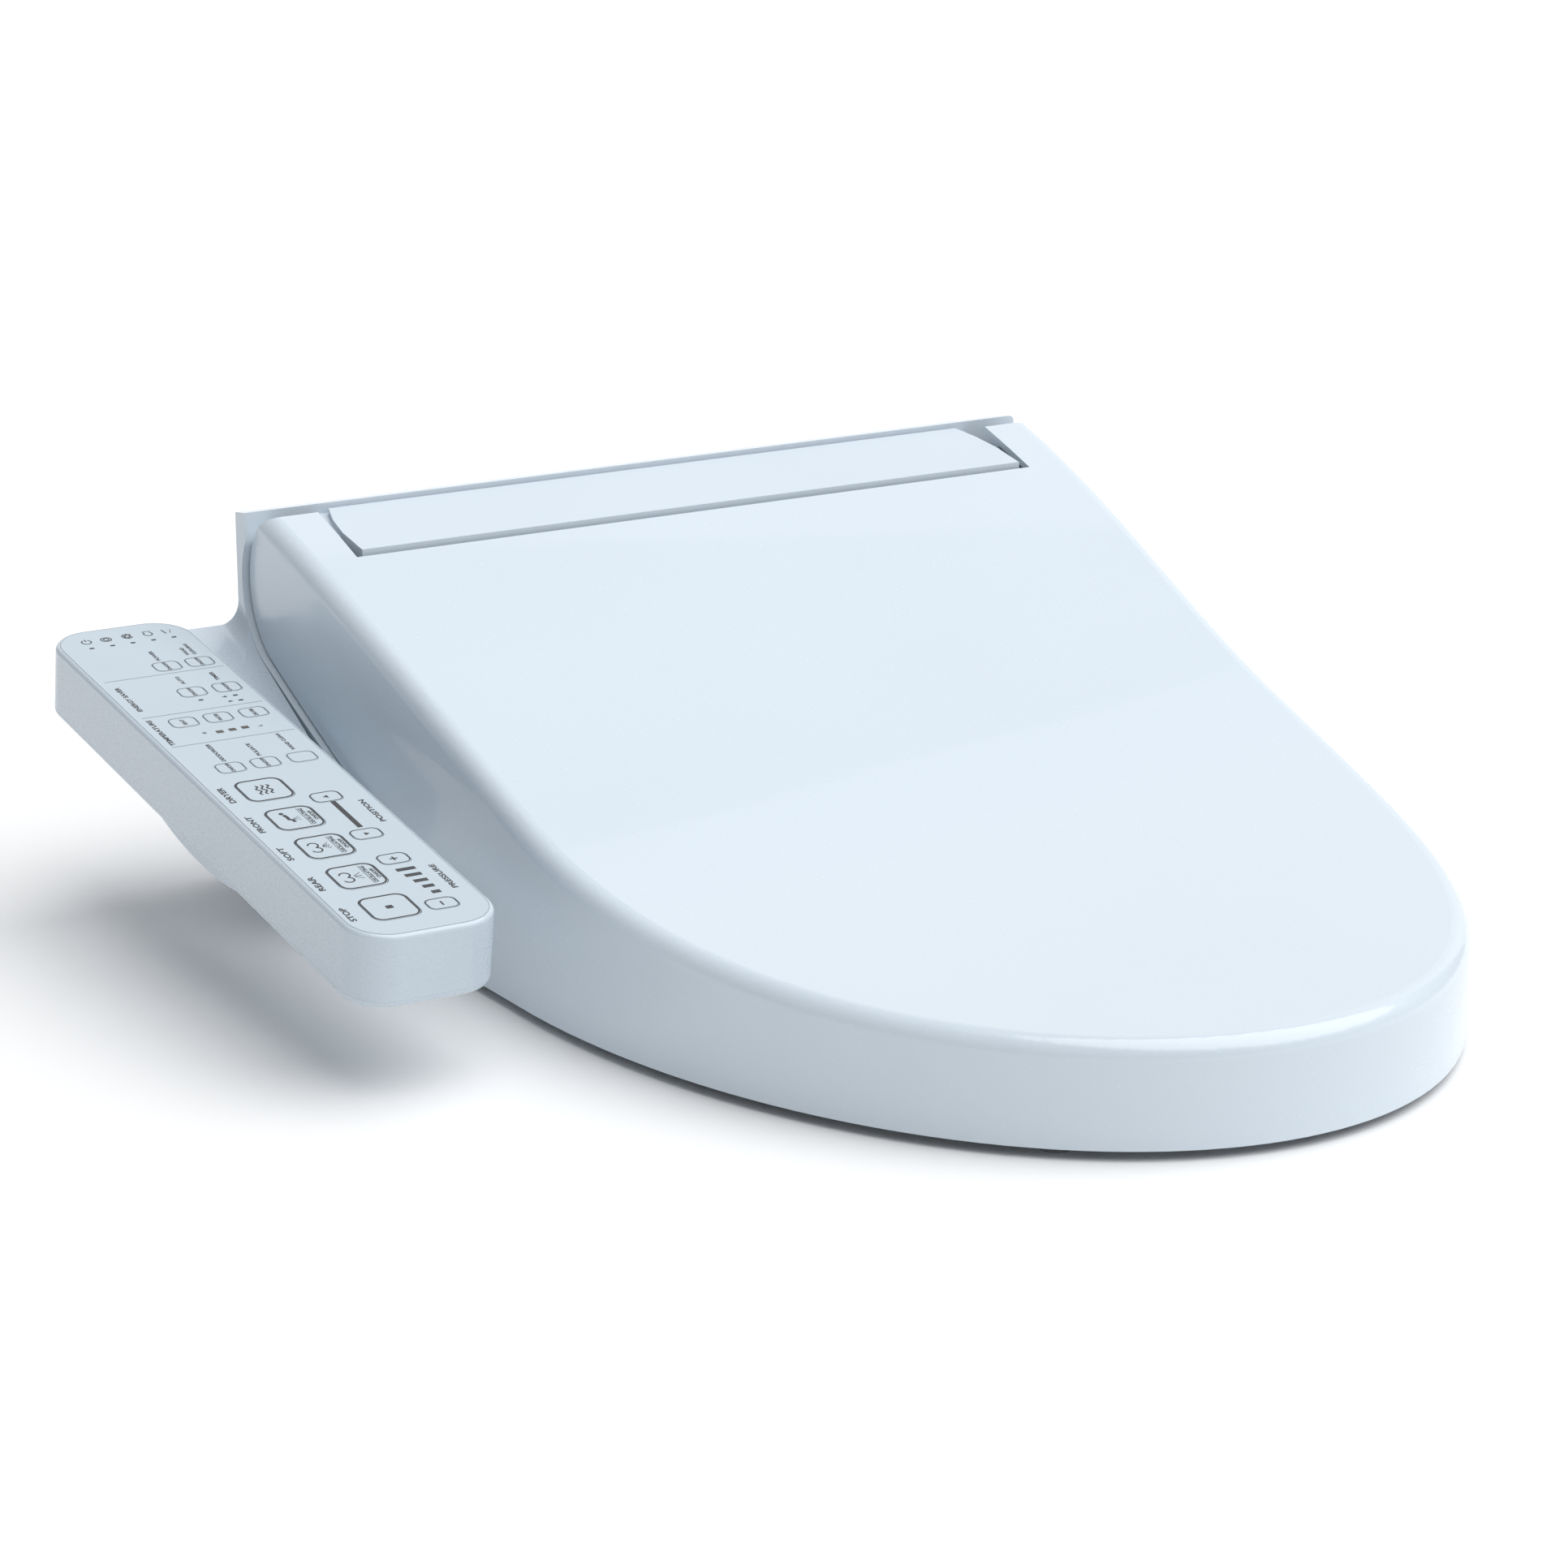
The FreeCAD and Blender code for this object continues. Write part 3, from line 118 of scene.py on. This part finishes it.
AIM = (-0.05, -0.2, 0.08)
wide_sun("ceiling", (0.4, -0.35, 1.0), 2.9, 75.0)
soft_lamp("rear_panel", (2.1, 3.5, 1.9), AIM, (7.0, 4.0), 52.0)

room = bpy.data.worlds.new("pale_room")
room.use_nodes = True
room.node_tree.nodes["Background"].inputs["Color"].default_value = (0.93, 0.96, 1.0, 1.0)
room.node_tree.nodes["Background"].inputs["Strength"].default_value = 0.3
bpy.context.scene.world = room
bpy.context.scene.view_settings.view_transform = "Standard"
print("lamps", len(bpy.data.lights))

# %% [markdown]
# ## Finishes
# Every surface is moulded, rolled or cast, and none is one flat colour. A shared node group gives the
# slow drift in tone, the uneven polish and the fine relief that each of them has. Each finish then
# sets its own values.

# %% Shared effect: moulded surface
def socket(group, name, way, kind, value=None):
    made = group.interface.new_socket(name=name, in_out=way, socket_type=kind)
    if value is not None:
        made.default_value = value
    return made


def wire(tree, *pairs):
    for start, end in pairs:
        tree.links.new(start, end)


def moulded_group():
    group = bpy.data.node_groups.new("moulded_surface", "ShaderNodeTree")
    socket(group, "Coordinates", "INPUT", "NodeSocketVector")
    socket(group, "Colour", "INPUT", "NodeSocketColor", (0.8, 0.8, 0.8, 1))
    socket(group, "Tone drift", "INPUT", "NodeSocketFloat", 0.02)
    socket(group, "Roughness", "INPUT", "NodeSocketFloat", 0.3)
    socket(group, "Polish drift", "INPUT", "NodeSocketFloat", 0.05)
    socket(group, "Grain scale", "INPUT", "NodeSocketFloat", 800.0)
    socket(group, "Colour", "OUTPUT", "NodeSocketColor")
    socket(group, "Roughness", "OUTPUT", "NodeSocketFloat")
    socket(group, "Height", "OUTPUT", "NodeSocketFloat")
    nodes = group.nodes
    put_in = nodes.new("NodeGroupInput")
    put_out = nodes.new("NodeGroupOutput")
    slow = nodes.new("ShaderNodeTexNoise")
    slow.inputs["Scale"].default_value = 9.0
    slow.inputs["Detail"].default_value = 3.0
    fine = nodes.new("ShaderNodeTexNoise")
    fine.inputs["Detail"].default_value = 4.0
    drift = nodes.new("ShaderNodeMapRange")
    drift.inputs["From Min"].default_value = 0.3
    drift.inputs["From Max"].default_value = 0.7
    shade = nodes.new("ShaderNodeMath")
    shade.operation = "MULTIPLY_ADD"
    shade.inputs[2].default_value = 1.0
    negative = nodes.new("ShaderNodeMath")
    negative.operation = "MULTIPLY"
    negative.inputs[1].default_value = -1.0
    scaled = nodes.new("ShaderNodeVectorMath")
    scaled.operation = "SCALE"
    rough = nodes.new("ShaderNodeMath")
    rough.operation = "MULTIPLY_ADD"
    wire(group,
         (put_in.outputs["Coordinates"], slow.inputs["Vector"]),
         (put_in.outputs["Coordinates"], fine.inputs["Vector"]),
         (put_in.outputs["Grain scale"], fine.inputs["Scale"]),
         (slow.outputs["Fac"], drift.inputs["Value"]),
         (put_in.outputs["Tone drift"], negative.inputs[0]),
         (drift.outputs["Result"], shade.inputs[0]),
         (negative.outputs[0], shade.inputs[1]),
         (put_in.outputs["Colour"], scaled.inputs[0]),
         (shade.outputs[0], scaled.inputs["Scale"]),
         (scaled.outputs["Vector"], put_out.inputs["Colour"]),
         (fine.outputs["Fac"], rough.inputs[0]),
         (put_in.outputs["Polish drift"], rough.inputs[1]),
         (put_in.outputs["Roughness"], rough.inputs[2]),
         (rough.outputs[0], put_out.inputs["Roughness"]),
         (fine.outputs["Fac"], put_out.inputs["Height"]))
    return group


MOULDED = moulded_group()
print("shared group", MOULDED.name, "with", len(MOULDED.nodes), "nodes")

# %% One finish
def finish(name, colour, roughness, drift=0.03, polish=0.08, grain=800.0, relief=0.000004, metallic=0.0,
           coat=0.0, coat_roughness=0.05, alpha=1.0, specular=0.5):
    material = bpy.data.materials.new(name)
    material.use_nodes = True
    tree = material.node_tree
    shader = tree.nodes["Principled BSDF"]
    place = tree.nodes.new("ShaderNodeTexCoord")
    surface = tree.nodes.new("ShaderNodeGroup")
    surface.node_tree = MOULDED
    surface.inputs["Colour"].default_value = (*colour, 1.0)
    surface.inputs["Tone drift"].default_value = drift
    surface.inputs["Roughness"].default_value = roughness
    surface.inputs["Polish drift"].default_value = polish
    surface.inputs["Grain scale"].default_value = grain
    bump = tree.nodes.new("ShaderNodeBump")
    bump.inputs["Distance"].default_value = relief
    bump.inputs["Strength"].default_value = 1.0
    wire(tree,
         (place.outputs["Object"], surface.inputs["Coordinates"]),
         (surface.outputs["Colour"], shader.inputs["Base Color"]),
         (surface.outputs["Roughness"], shader.inputs["Roughness"]),
         (surface.outputs["Height"], bump.inputs["Height"]),
         (bump.outputs["Normal"], shader.inputs["Normal"]))
    shader.inputs["Metallic"].default_value = metallic
    shader.inputs["Coat Weight"].default_value = coat
    shader.inputs["Coat Roughness"].default_value = coat_roughness
    shader.inputs["Specular IOR Level"].default_value = specular
    shader.inputs["Alpha"].default_value = alpha
    return material


FINISHES = {
    "lid_gloss_white": finish("lid_gloss_white", (0.66, 0.74, 0.81), 0.22, drift=0.015, coat=0.4),
    "case_gloss_white": finish("case_gloss_white", (0.65, 0.725, 0.79), 0.25, drift=0.02, coat=0.3),
    "cover_satin_white": finish("cover_satin_white", (0.64, 0.72, 0.79), 0.34, drift=0.02, coat=0.1),
    "seat_gloss_white": finish("seat_gloss_white", (0.67, 0.73, 0.78), 0.2, drift=0.015, coat=0.4),
    # The arm's white is painted darker than the lid and case white of the same plastic: painted shade for the
    # arm's shaded flank.
    "arm_gloss_white": finish("arm_gloss_white", (0.57, 0.65, 0.72), 0.24, drift=0.02, coat=0.3),
    "overlay_matte": finish("overlay_matte", (0.53, 0.61, 0.67), 0.5, grain=2500.0, relief=0.00001),
    "key_matte": finish("key_matte", (0.53, 0.61, 0.67), 0.5, grain=2500.0, relief=0.00001),
    "grey_rubber": finish("grey_rubber", (0.28, 0.29, 0.31), 0.75, drift=0.08, grain=1200.0, relief=0.00008),
    "steel": finish("steel", (0.6, 0.6, 0.62), 0.32, metallic=1.0, grain=1500.0),
    "grey_plastic": finish("grey_plastic", (0.48, 0.5, 0.53), 0.45, drift=0.05, relief=0.00005),
    "black_plastic": finish("black_plastic", (0.03, 0.03, 0.035), 0.4, drift=0.1, relief=0.00005),
    "nickel_brass": finish("nickel_brass", (0.72, 0.69, 0.63), 0.2, metallic=1.0, grain=1500.0),
    "tank_plastic": finish("tank_plastic", (0.55, 0.5, 0.38), 0.5, drift=0.08, relief=0.00006),
    "heater_steel": finish("heater_steel", (0.45, 0.42, 0.38), 0.42, metallic=1.0, drift=0.15),
    "mica_board": finish("mica_board", (0.38, 0.28, 0.15), 0.6, drift=0.2, relief=0.00008),
    "motor_steel": finish("motor_steel", (0.55, 0.56, 0.58), 0.34, metallic=1.0, drift=0.06),
    "heater_foil": finish("heater_foil", (0.8, 0.8, 0.82), 0.3, metallic=1.0, relief=0.0001, grain=300.0),
    "circuit_board": finish("circuit_board", (0.02, 0.16, 0.07), 0.4, drift=0.15),
    "potting_black": finish("potting_black", (0.03, 0.03, 0.03), 0.35, drift=0.1, grain=200.0),
    "led_lens": finish("led_lens", (0.32, 0.3, 0.25), 0.15, drift=0.05),
    "wand_white": finish("wand_white", (0.66, 0.71, 0.76), 0.25, coat=0.3),
}
floor.data.materials.append(finish("studio_paper", (0.93, 0.93, 0.93), 0.9, drift=0.01, relief=0.0))
print("finishes", len(FINISHES))

# %% Give every measured node its finish
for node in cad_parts.values():
    for index, old in enumerate(node.data.materials):
        node.data.materials[index] = FINISHES[old.name.split(".")[0]]
print("nodes finished", len(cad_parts))

# %% [markdown]
# ## Softened cases
# A mould never leaves a knife edge: each outside corner of the cases carries a small radius, and that
# radius is what catches the light. The measured shells have sharp corners, so a copy of each is
# cleaned of its loose triangles and takes a bevel wherever two faces meet at a clear angle.

# %% Soft-edged copies of the cases
def soft_copy(node, body, radius, slot, angle=35.0, segments=3):
    bm = bmesh.new()
    bm.from_mesh(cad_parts[node].data)
    bmesh.ops.remove_doubles(bm, verts=bm.verts, dist=0.00002)
    bmesh.ops.dissolve_limit(bm, angle_limit=math.radians(1.0), verts=bm.verts, edges=bm.edges)
    for face in bm.faces:
        face.smooth = True
    mesh = bpy.data.meshes.new("soft_" + node)
    bm.to_mesh(mesh)
    bm.free()
    piece = bpy.data.objects.new("soft_" + node, mesh)
    bpy.context.scene.collection.objects.link(piece)
    mesh.materials.append(FINISHES[slot])
    edge = piece.modifiers.new("moulded_edges", "BEVEL")
    edge.width = radius
    edge.segments = segments
    edge.limit_method = "ANGLE"
    edge.angle_limit = math.radians(angle)
    edge.harden_normals = False
    edge.miter_outer = "MITER_ARC"
    even = piece.modifiers.new("even_shading", "WEIGHTED_NORMAL")
    even.keep_sharp = True
    even.weight = 80
    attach(piece, body)
    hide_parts(node)
    print(piece.name, len(mesh.vertices), "corners")
    return piece


CASE_EDGE = 0.0009
ARM_EDGE = 0.0005
soft_copy("upper_case", "base", CASE_EDGE, "case_gloss_white")
soft_copy("cover_plate", "base", CASE_EDGE, "cover_satin_white")
# The arm's copy takes the darker arm white, which carries painted shade for its flank.
soft_copy("arm_case_upper", "base", ARM_EDGE, "arm_gloss_white")

# %% [markdown]
# ## The control panel's print
# A membrane panel is one matt film, printed on its back in dark ink, with the keys felt through it.
# The print could be a texture, but a mesh of thin marks keeps its edges sharp at any size, and each
# key's marks can travel with the key. Marks are drawn on a small page for each key, in millimetres:
# page X is the reading direction, towards the rear, and page Y is the top of the letters, outwards.

# %% The panel's own frame
PITCH = math.radians(9.09)
FILM = 0.0008
FILM_INSET = 0.0008
INK_RISE = 0.00006
ACROSS = Vector((1, 0, 0))
REARWARD = Vector((0, math.cos(PITCH), math.sin(PITCH)))
OUT = ACROSS.cross(REARWARD)

film_low, film_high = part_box("panel_overlay")
rear_edge = Vector((0, film_high.y - FILM * math.sin(PITCH), film_high.z))
PANEL_ZERO = rear_edge + REARWARD * FILM_INSET


def page(x, along):
    """Where a page lies on the panel: x across it, along it towards the front, in millimetres."""
    spot = PANEL_ZERO + ACROSS * x / 1000 - REARWARD * along / 1000 + OUT * INK_RISE
    turn = Matrix((REARWARD, -ACROSS, OUT)).transposed().to_4x4()
    return Matrix.Translation(spot) @ turn @ Matrix.Scale(0.001, 4)


def key_page(node):
    low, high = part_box(node)
    middle = (low + high) / 2
    x = middle.x * 1000
    reach = (middle - PANEL_ZERO).dot(REARWARD)
    return page(x, -reach * 1000)


print("panel rises", round(math.degrees(PITCH), 2), "degrees to the rear")

# %% Marks that the print is made of
def moved(bm, verts, x, y, turn=0.0, size=(1, 1)):
    bmesh.ops.scale(bm, vec=(size[0], size[1], 1), verts=verts)
    bmesh.ops.rotate(bm, cent=(0, 0, 0), matrix=Matrix.Rotation(turn, 3, "Z"), verts=verts)
    bmesh.ops.translate(bm, vec=(x, y, 0), verts=verts)


def bar(bm, x, y, length, width, turn=0.0):
    made = bmesh.ops.create_grid(bm, x_segments=1, y_segments=1, size=0.5)
    moved(bm, made["verts"], x, y, turn, (length, width))


def dot(bm, x, y, radius, corners=16, turn=0.0):
    made = bmesh.ops.create_circle(bm, cap_ends=True, segments=corners, radius=radius)
    moved(bm, made["verts"], x, y, turn)


def rounded_patch(bm, x, y, length, width, radius):
    made = bmesh.ops.create_grid(bm, x_segments=1, y_segments=1, size=0.5)
    moved(bm, made["verts"], x, y, 0.0, (length, width))
    face = made["verts"][0].link_faces[0]
    cut = bmesh.ops.bevel(bm, geom=made["verts"], offset=radius, affect="VERTICES", segments=6,
                          profile=0.5, material=-1)
    corner = cut["verts"][0]
    return max(corner.link_faces, key=lambda other: other.calc_area())


def ring(bm, x, y, length, width, radius, line):
    patch = rounded_patch(bm, x, y, length, width, radius)
    bmesh.ops.inset_region(bm, faces=[patch], thickness=line, use_even_offset=True, use_boundary=True)
    bmesh.ops.delete(bm, geom=[patch], context="FACES")


def ribbon(bm, path, width):
    """A stroke of even width along the path's points."""
    made = bmesh.ops.create_grid(bm, x_segments=len(path) - 1, y_segments=1, size=0.5)
    for vert in made["verts"]:
        step = round((vert.co.x + 0.5) * (len(path) - 1))
        here = Vector(path[step])
        ahead = Vector(path[min(step + 1, len(path) - 1)])
        behind = Vector(path[max(step - 1, 0)])
        run = (ahead - behind).normalized()
        side = Vector((-run.y, run.x)) * width / 2 * (1 if vert.co.y > 0 else -1)
        vert.co = (here.x + side.x, here.y + side.y, 0)


def arc(x, y, radius, start, end, count=16):
    angles = [math.radians(start + (end - start) * n / count) for n in range(count + 1)]
    return [(x + radius * math.cos(a), y + radius * math.sin(a)) for a in angles]


def words(bm, text, x, y, length, height, align="CENTER"):
    """Plain capitals, squeezed to the length and cap height that the print has."""
    letters = bpy.data.curves.new("letters", "FONT")
    letters.body = text
    letters.resolution_u = 3
    letters.offset = 0.03
    block = bpy.data.objects.new("letters", letters)
    bpy.context.scene.collection.objects.link(block)
    bpy.context.view_layer.update()
    flat = bpy.data.meshes.new_from_object(block.evaluated_get(bpy.context.evaluated_depsgraph_get()))
    bpy.data.objects.remove(block)
    bpy.data.curves.remove(letters)
    left = min(v.co.x for v in flat.vertices)
    right = max(v.co.x for v in flat.vertices)
    low = min(v.co.y for v in flat.vertices)
    high = max(v.co.y for v in flat.vertices)
    middle = {"CENTER": (left + right) / 2, "LEFT": left, "RIGHT": right}[align]
    flat.transform(Matrix.Translation((-middle, -(low + high) / 2, 0)))
    flat.transform(Matrix.Diagonal((length / (right - left), height / (high - low), 1, 1)))
    flat.transform(Matrix.Translation((x, y, 0)))
    bm.from_mesh(flat)
    bpy.data.meshes.remove(flat)


# %% [markdown]
# ### Inks
# The film carries two inks: a near-black for words and the large keys' frames, and a paler grey for
# hairlines. The lamps behind the film show as small smoked windows.

# %% Inks and a way to lay them down
INK_DARK = finish("ink_dark", (0.045, 0.047, 0.052), 0.45, drift=0.06, grain=2500.0)
INK_GREY = finish("ink_grey", (0.2, 0.22, 0.24), 0.45, drift=0.06, grain=2500.0)
WINDOW = finish("lamp_window", (0.09, 0.075, 0.06), 0.3, drift=0.1, grain=2500.0)


def lay_print(name, body, place, ink, draw):
    """Draw marks on a page and lay them on the panel as one thin piece that rides on the body."""
    bm = bmesh.new()
    draw(bm)
    bmesh.ops.transform(bm, matrix=place, verts=bm.verts)
    mesh = bpy.data.meshes.new(name)
    bm.to_mesh(mesh)
    bm.free()
    piece = bpy.data.objects.new(name, mesh)
    bpy.context.scene.collection.objects.link(piece)
    mesh.materials.append(ink)
    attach(piece, body)
    return piece


# %% Words and lines on the film itself
SMALL = (9.2, 11.5, 2.6)
LARGE = (20.1, 20.2, 4.5)
STEP = (9.0, 12.6, 3.0)


def on_film(x, along):
    """A spot on the film as page coordinates of the panel's zero page."""
    return -along, -x


def draw_words(bm):
    for text, x, start, end, height in (
            ("DRYER", -285.0, 168.5, 183.7, 2.7), ("FRONT", -285.6, 197.6, 213.3, 2.7),
            ("SOFT", -285.8, 228.0, 240.4, 2.7), ("REAR", -286.0, 256.2, 269.2, 2.7),
            ("STOP", -286.2, 285.3, 297.6, 2.7), ("POSITION", -236.4, 198.6, 220.2, 2.5),
            ("PRESSURE", -236.8, 262.7, 284.8, 2.5), ("ENERGY SAVER", -284.0, 61.4, 87.6, 2.2),
            ("TEMPERATURE", -285.0, 97.2, 124.0, 2.2), ("POWER", -255.4, 29.8, 40.4, 1.8),
            ("WAND", -241.4, 30.8, 39.2, 1.7), ("CLEANING", -238.2, 27.2, 39.2, 1.7),
            ("AUTO", -255.6, 59.0, 67.4, 1.8), ("TIMER", -240.2, 59.0, 68.0, 1.8),
            ("DEODORIZER", -272.0, 127.3, 145.4, 1.8), ("PULSATE", -256.2, 132.4, 145.0, 1.8),
            ("WAND CLEAN", -240.6, 127.4, 144.6, 1.8), ("H", -268.2, 116.0, 117.4, 1.9),
            ("L", -243.6, 116.9, 118.2, 1.9), ("6", -245.2, 84.4, 85.9, 2.1), ("9", -244.6, 89.6, 91.1, 2.1)):
        spot = on_film(x, (start + end) / 2)
        words(bm, text, spot[0], spot[1], end - start, height)


def draw_bars(bm):
    bar(bm, *on_film(-247.5, 209.0), 26.0, 2.3)
    for count in range(5):
        width = 8.2 - 1.1 * count
        bar(bm, *on_film(-243.6 - width / 2, 262.9 + 5.55 * count), 2.5, width)
    for x in (-277.1, -267.6, -258.2, -248.7, -239.2):
        bar(bm, *on_film(x, 18.8), 1.3, 2.1)
    for x, along in ((-255.8, 85.0), (-240.2, 85.2), (-240.1, 90.6)):
        bar(bm, *on_film(x, along), 1.3, 2.1)


def draw_icons(bm):
    x, y = on_film(-276.7, 11.8)
    ribbon(bm, arc(x, y, 2.1, 30, 330), 0.55)
    bar(bm, x + 1.6, y, 2.2, 0.55)
    x, y = on_film(-267.7, 11.8)
    ring(bm, x, y, 4.4, 5.0, 1.9, 0.55)
    ribbon(bm, arc(x, y, 1.2, 0, 360), 0.55)
    x, y = on_film(-257.8, 11.5)
    for petal in range(6):
        angle = math.radians(60 * petal)
        dot(bm, x + 1.35 * math.cos(angle), y + 1.35 * math.sin(angle), 0.62, 12)
    ribbon(bm, arc(x, y, 2.35, -60, 240), 0.45)
    x, y = on_film(-248.4, 11.5)
    ribbon(bm, arc(x - 0.4, y, 1.9, 40, 320), 0.55)
    ribbon(bm, [(x + 1.1, y + 1.2), (x + 2.2, y + 1.9), (x + 2.2, y - 1.9), (x + 1.1, y - 1.2)], 0.4)
    x, y = on_film(-239.3, 11.8)
    ribbon(bm, [(x - 2.2, y + 1.4), (x + 2.0, y + 2.2)], 0.6)
    for n in range(3):
        dot(bm, x - 1.6 + 1.3 * n, y - 0.6 - 0.5 * n, 0.34, 10)


def draw_hairlines(bm):
    for along in (54.7, 94.5, 125.6):
        bar(bm, *on_film(-259.2, along), 0.28, 54.6)
    x_low, x_high = film_low.x * 1000, film_high.x * 1000
    reach = (rear_edge - film_low).dot(REARWARD) * 1000
    spot = on_film((x_low + x_high) / 2, 0.8 + reach / 2)
    ring(bm, spot[0], spot[1], reach - 0.1, x_high - x_low - 0.1, 16.2, 0.16)


def draw_windows(bm):
    for x, along in ((-261.7, 117.6), (-255.9, 117.3), (-250.1, 117.0)):
        bar(bm, *on_film(x, along), 2.5, 3.2)


ZERO_PAGE = page(0, 0)
lay_print("panel_words", "base", ZERO_PAGE, INK_DARK, draw_words)
lay_print("panel_bars", "base", ZERO_PAGE, INK_DARK, draw_bars)
lay_print("panel_icons", "base", ZERO_PAGE, INK_DARK, draw_icons)
lay_print("panel_hairlines", "base", ZERO_PAGE, INK_GREY, draw_hairlines)
lay_print("panel_windows", "base", ZERO_PAGE, WINDOW, draw_windows)
print("film print laid")

# %% [markdown]
# ### The keys' own marks
# Small keys have a hairline frame and a word, the five large ones a heavy frame and a picture, and
# the four stepping keys an arrow or a sign. Each set rides on its key, so it sinks when pressed.

# %% Pictures on the large keys
def draw_waves(bm):
    for row in (-2.4, 0.0, 2.4):
        path = [(-4.2 + 0.6 * n, row + 0.75 * math.sin(n * 0.9)) for n in range(15)]
        ribbon(bm, path, 0.8)


def draw_switch_note(bm):
    words(bm, "OSCILLATING", 0, -5.4, 15.2, 1.8)
    words(bm, "ON/OFF", 0, -8.0, 8.6, 1.7)
    bar(bm, 0, -4.0, 16.0, 0.22)


def draw_spray(bm, x, y, rows, spread):
    for n in range(rows):
        for side in (-1, 0, 1):
            dot(bm, x + side * spread * (n + 1) / rows, y - 0.75 * n, 0.24, 8)


def draw_sitting(bm):
    dot(bm, 5.2, 3.6, 1.0)
    ribbon(bm, [(3.9, 3.2), (1.6, 2.6), (-0.6, 2.7), (-1.4, 1.4), (-3.4, 1.2)], 1.5)
    draw_spray(bm, -0.6, 0.4, 4, 1.5)
    draw_switch_note(bm)


def draw_seat_curves(bm):
    ribbon(bm, arc(-2.1, 4.2, 2.1, 100, 350), 0.7)
    ribbon(bm, arc(2.1, 4.2, 2.1, 190, 440), 0.7)
    draw_switch_note(bm)


def draw_soft(bm):
    draw_seat_curves(bm)
    draw_spray(bm, 0, 0.6, 4, 1.9)
    draw_spray(bm, 0.7, 0.2, 4, 2.2)


def draw_rear(bm):
    draw_seat_curves(bm)
    for side in (-1, 0, 1):
        ribbon(bm, [(side * 0.5, 0.9), (side * 2.6, -2.4)], 0.32)


def draw_stop(bm):
    rounded_patch(bm, 0, 0, 2.6, 3.0, 0.35)


def framed(size, line, extra=None):
    def draw(bm):
        ring(bm, 0, 0, size[0] - 0.12, size[1] - 0.12, size[2], line)
        if extra:
            extra(bm)
    return draw


def word_on_key(text, length):
    return lambda bm: words(bm, text, 0, 0, length, 1.75)


def arrow(direction):
    return lambda bm: dot(bm, 0, 0, 1.5, 3, math.radians(90 if direction > 0 else -90) - math.radians(90))


def draw_plus(bm):
    bar(bm, 0, 0, 3.4, 0.75)
    bar(bm, 0, 0, 0.75, 3.4)


def draw_minus(bm):
    bar(bm, 0, 0, 3.4, 0.75)


# %% Lay the marks on every key
KEY_MARKS = {
    "power": (SMALL, "ON/OFF"), "nozzle_rinse": (SMALL, "ON/OFF"), "saver_auto": (SMALL, "ON/OFF"),
    "saver_timer": (SMALL, "ON/OFF"), "seat_heat": (SMALL, "SEAT"), "water_heat": (SMALL, "WATER"),
    "dryer_heat": (SMALL, "DRYER"), "deodorizer": (SMALL, "ON/OFF"), "pulsate": (SMALL, "ON/OFF"),
    "wand_out": (SMALL, None), "dryer": (LARGE, draw_waves), "front_wash": (LARGE, draw_sitting),
    "soft_wash": (LARGE, draw_soft), "rear_wash": (LARGE, draw_rear), "stop": (LARGE, draw_stop),
    "wand_back": (STEP, arrow(1)), "wand_forward": (STEP, arrow(-1)),
    "pressure_up": (STEP, draw_plus), "pressure_down": (STEP, draw_minus),
}
for body, (size, mark) in KEY_MARKS.items():
    place = key_page(body + "_key")
    if size is SMALL:
        lay_print(body + "_frame_print", body, place, INK_GREY, framed(size, 0.3))
        if mark:
            lay_print(body + "_word_print", body, place, INK_DARK, word_on_key(mark, 1.42 * len(mark)))
    else:
        line = 0.85 if size is LARGE else 0.42
        lay_print(body + "_print", body, place, INK_DARK, framed(size, line, mark))
print("keys printed", len(KEY_MARKS))
